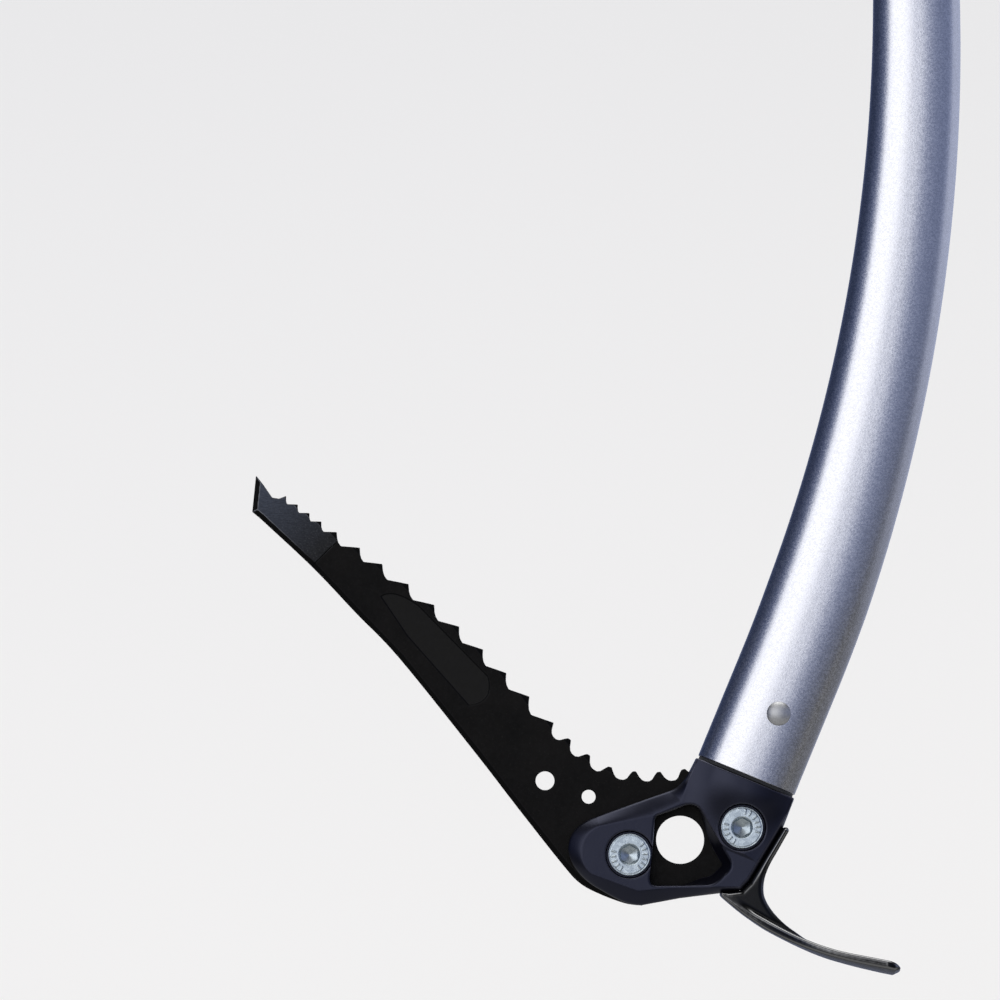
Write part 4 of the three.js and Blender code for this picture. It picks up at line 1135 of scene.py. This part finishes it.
def finish_cad_nodes():
    """The small parts whose CAD shape stays get the finish of their slot."""
    slots = {row["node"]: row["material_slot"] for row in frame["record"]["subparts"]}
    for node, piece in frame["nodes"].items():
        if piece.hide_render:
            continue
        material = FINISHES[slots[node]]
        if not piece.material_slots:
            piece.data.materials.append(material)
        for material_slot in piece.material_slots:
            material_slot.material = material


# ---- stage, light and camera

VIEW_WIDTH = 0.350
CAMERA_DISTANCE = 3.2
CAMERA_Z = -0.036  # level with the adze's blade
SENSOR = 36.0
LEFT_MARGIN = 0.0882  # from the pick's tip to the picture's left edge
BOTTOM_MARGIN = 0.0087  # from the adze to the picture's lower edge
FLOOR_Z = -0.26


def build_camera():
    data = bpy.data.cameras.new("camera")
    data.sensor_width = SENSOR
    data.lens = SENSOR * CAMERA_DISTANCE / VIEW_WIDTH
    data.clip_end = 50
    camera = bpy.data.objects.new("camera", data)
    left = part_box("pick")[0].x - LEFT_MARGIN
    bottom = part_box("adze")[0].z - BOTTOM_MARGIN
    aim = Vector((left + VIEW_WIDTH / 2, 0, bottom + VIEW_WIDTH / 2))
    camera.location = (aim.x, -CAMERA_DISTANCE, CAMERA_Z)
    camera.rotation_euler = (aim - camera.location).to_track_quat("-Z", "Y").to_euler()
    bpy.context.scene.collection.objects.link(camera)
    bpy.context.scene.camera = camera


def build_stage():
    """A pale bowl: a floor that curves up into a backdrop all round."""
    reach, curve, height, sides, steps = 8.0, 3.0, 9.0, 96, 12
    profile = [(reach - curve, 0.0)]
    for i in range(1, steps + 1):
        turn = math.pi / 2 * i / steps
        profile.append((reach - curve + curve * math.sin(turn), curve * (1 - math.cos(turn))))
    profile.append((reach, height))
    points = [(0, 0, FLOOR_Z)]
    for radius, up in profile:
        points += [(x, y, FLOOR_Z + up) for x, y in circle(radius, sides)]
    mesh = bpy.data.meshes.new("studio")
    mesh.from_pydata(points, [], turned_faces(len(profile), sides))
    mesh.shade_smooth()
    studio = bpy.data.objects.new("studio", mesh)
    bpy.context.scene.collection.objects.link(studio)
    paint = Finish("studio_paint", Roughness=0.9, Emission_Color=(1, 1, 1, 1), Emission_Strength=0.42)
    tone = paint.mix(paint.noise(900.0, 1.0), (0.475, 0.462, 0.442), (0.495, 0.482, 0.462))
    mesh.materials.append(paint.use(Base_Color=tone))
    studio.visible_glossy = False
    studio.visible_diffuse = False
    studio.visible_shadow = False


# The studio's light by direction: the angle round the object from the camera's side (right positive),
# and how bright it is there.
LIGHT_ROUND = [(-180, 0.40), (-165, 0.16), (-145, 0.07), (-105, 0.07), (-75, 0.13), (-58, 0.26), (-48, 0.7),
               (-41, 1.75), (-8, 1.85), (-3, 1.85), (0, 1.45), (3, 0.95), (8, 0.61), (16, 0.43), (26, 0.36),
               (45, 0.32), (65, 0.34), (100, 0.48), (122, 0.70), (150, 0.66), (180, 0.40)]
# How it changes with height: the upward part of the direction where a level begins and where it is full.
LIGHT_UP_AND_DOWN = [(0.40, 0.62, 0.12), (0.80, 0.96, 3.2), (-0.02, -0.30, 0.14), (-0.36, -0.52, 0.46)]


def build_light():
    world = bpy.data.worlds.new("studio_light")
    bpy.context.scene.world = world
    world.use_nodes = True
    sky = Nodes(world.node_tree)
    brightest = max(level for _, level in LIGHT_ROUND)
    parts = sky.add("ShaderNodeSeparateXYZ", {0: sky.add("ShaderNodeTexCoord").outputs["Generated"]}).outputs
    turn = sky.math("ARCTAN2", parts["X"], sky.math("MULTIPLY", parts["Y"], -1.0))
    around = sky.add("ShaderNodeValToRGB", {"Fac": sky.remap(turn, -math.pi, math.pi)})
    elements = around.color_ramp.elements
    while len(elements) > 1:
        elements.remove(elements[-1])
    for i, (angle, level) in enumerate(LIGHT_ROUND):
        place = (angle + 180) / 360
        element = elements[0] if i == 0 else elements.new(place)
        element.position = place
        tint = 0.56 * math.exp(-level * 1.6)  # the dimmer, the bluer
        share = level / brightest
        element.color = (share * (1 - tint), share * (1 - 0.6 * tint), share * (1 + 0.9 * tint), 1)
    light = around.outputs["Color"]
    for start, full, level in LIGHT_UP_AND_DOWN:
        light = sky.mix(sky.remap(parts["Z"], start, full), light, (level / brightest,) * 3)
    background = world.node_tree.nodes["Background"]
    sky.put(light, background.inputs["Color"])
    sky.put(brightest, background.inputs["Strength"])


# ---- everything together

bpy.context.scene.view_settings.view_transform = "Standard"
for build in (build_camera, build_stage, build_light, build_shaft, build_head, build_pick, build_adze,
              build_fasteners, build_grip, build_trigger, build_spike, build_ferrule, build_rest):
    build()
finish_cad_nodes()
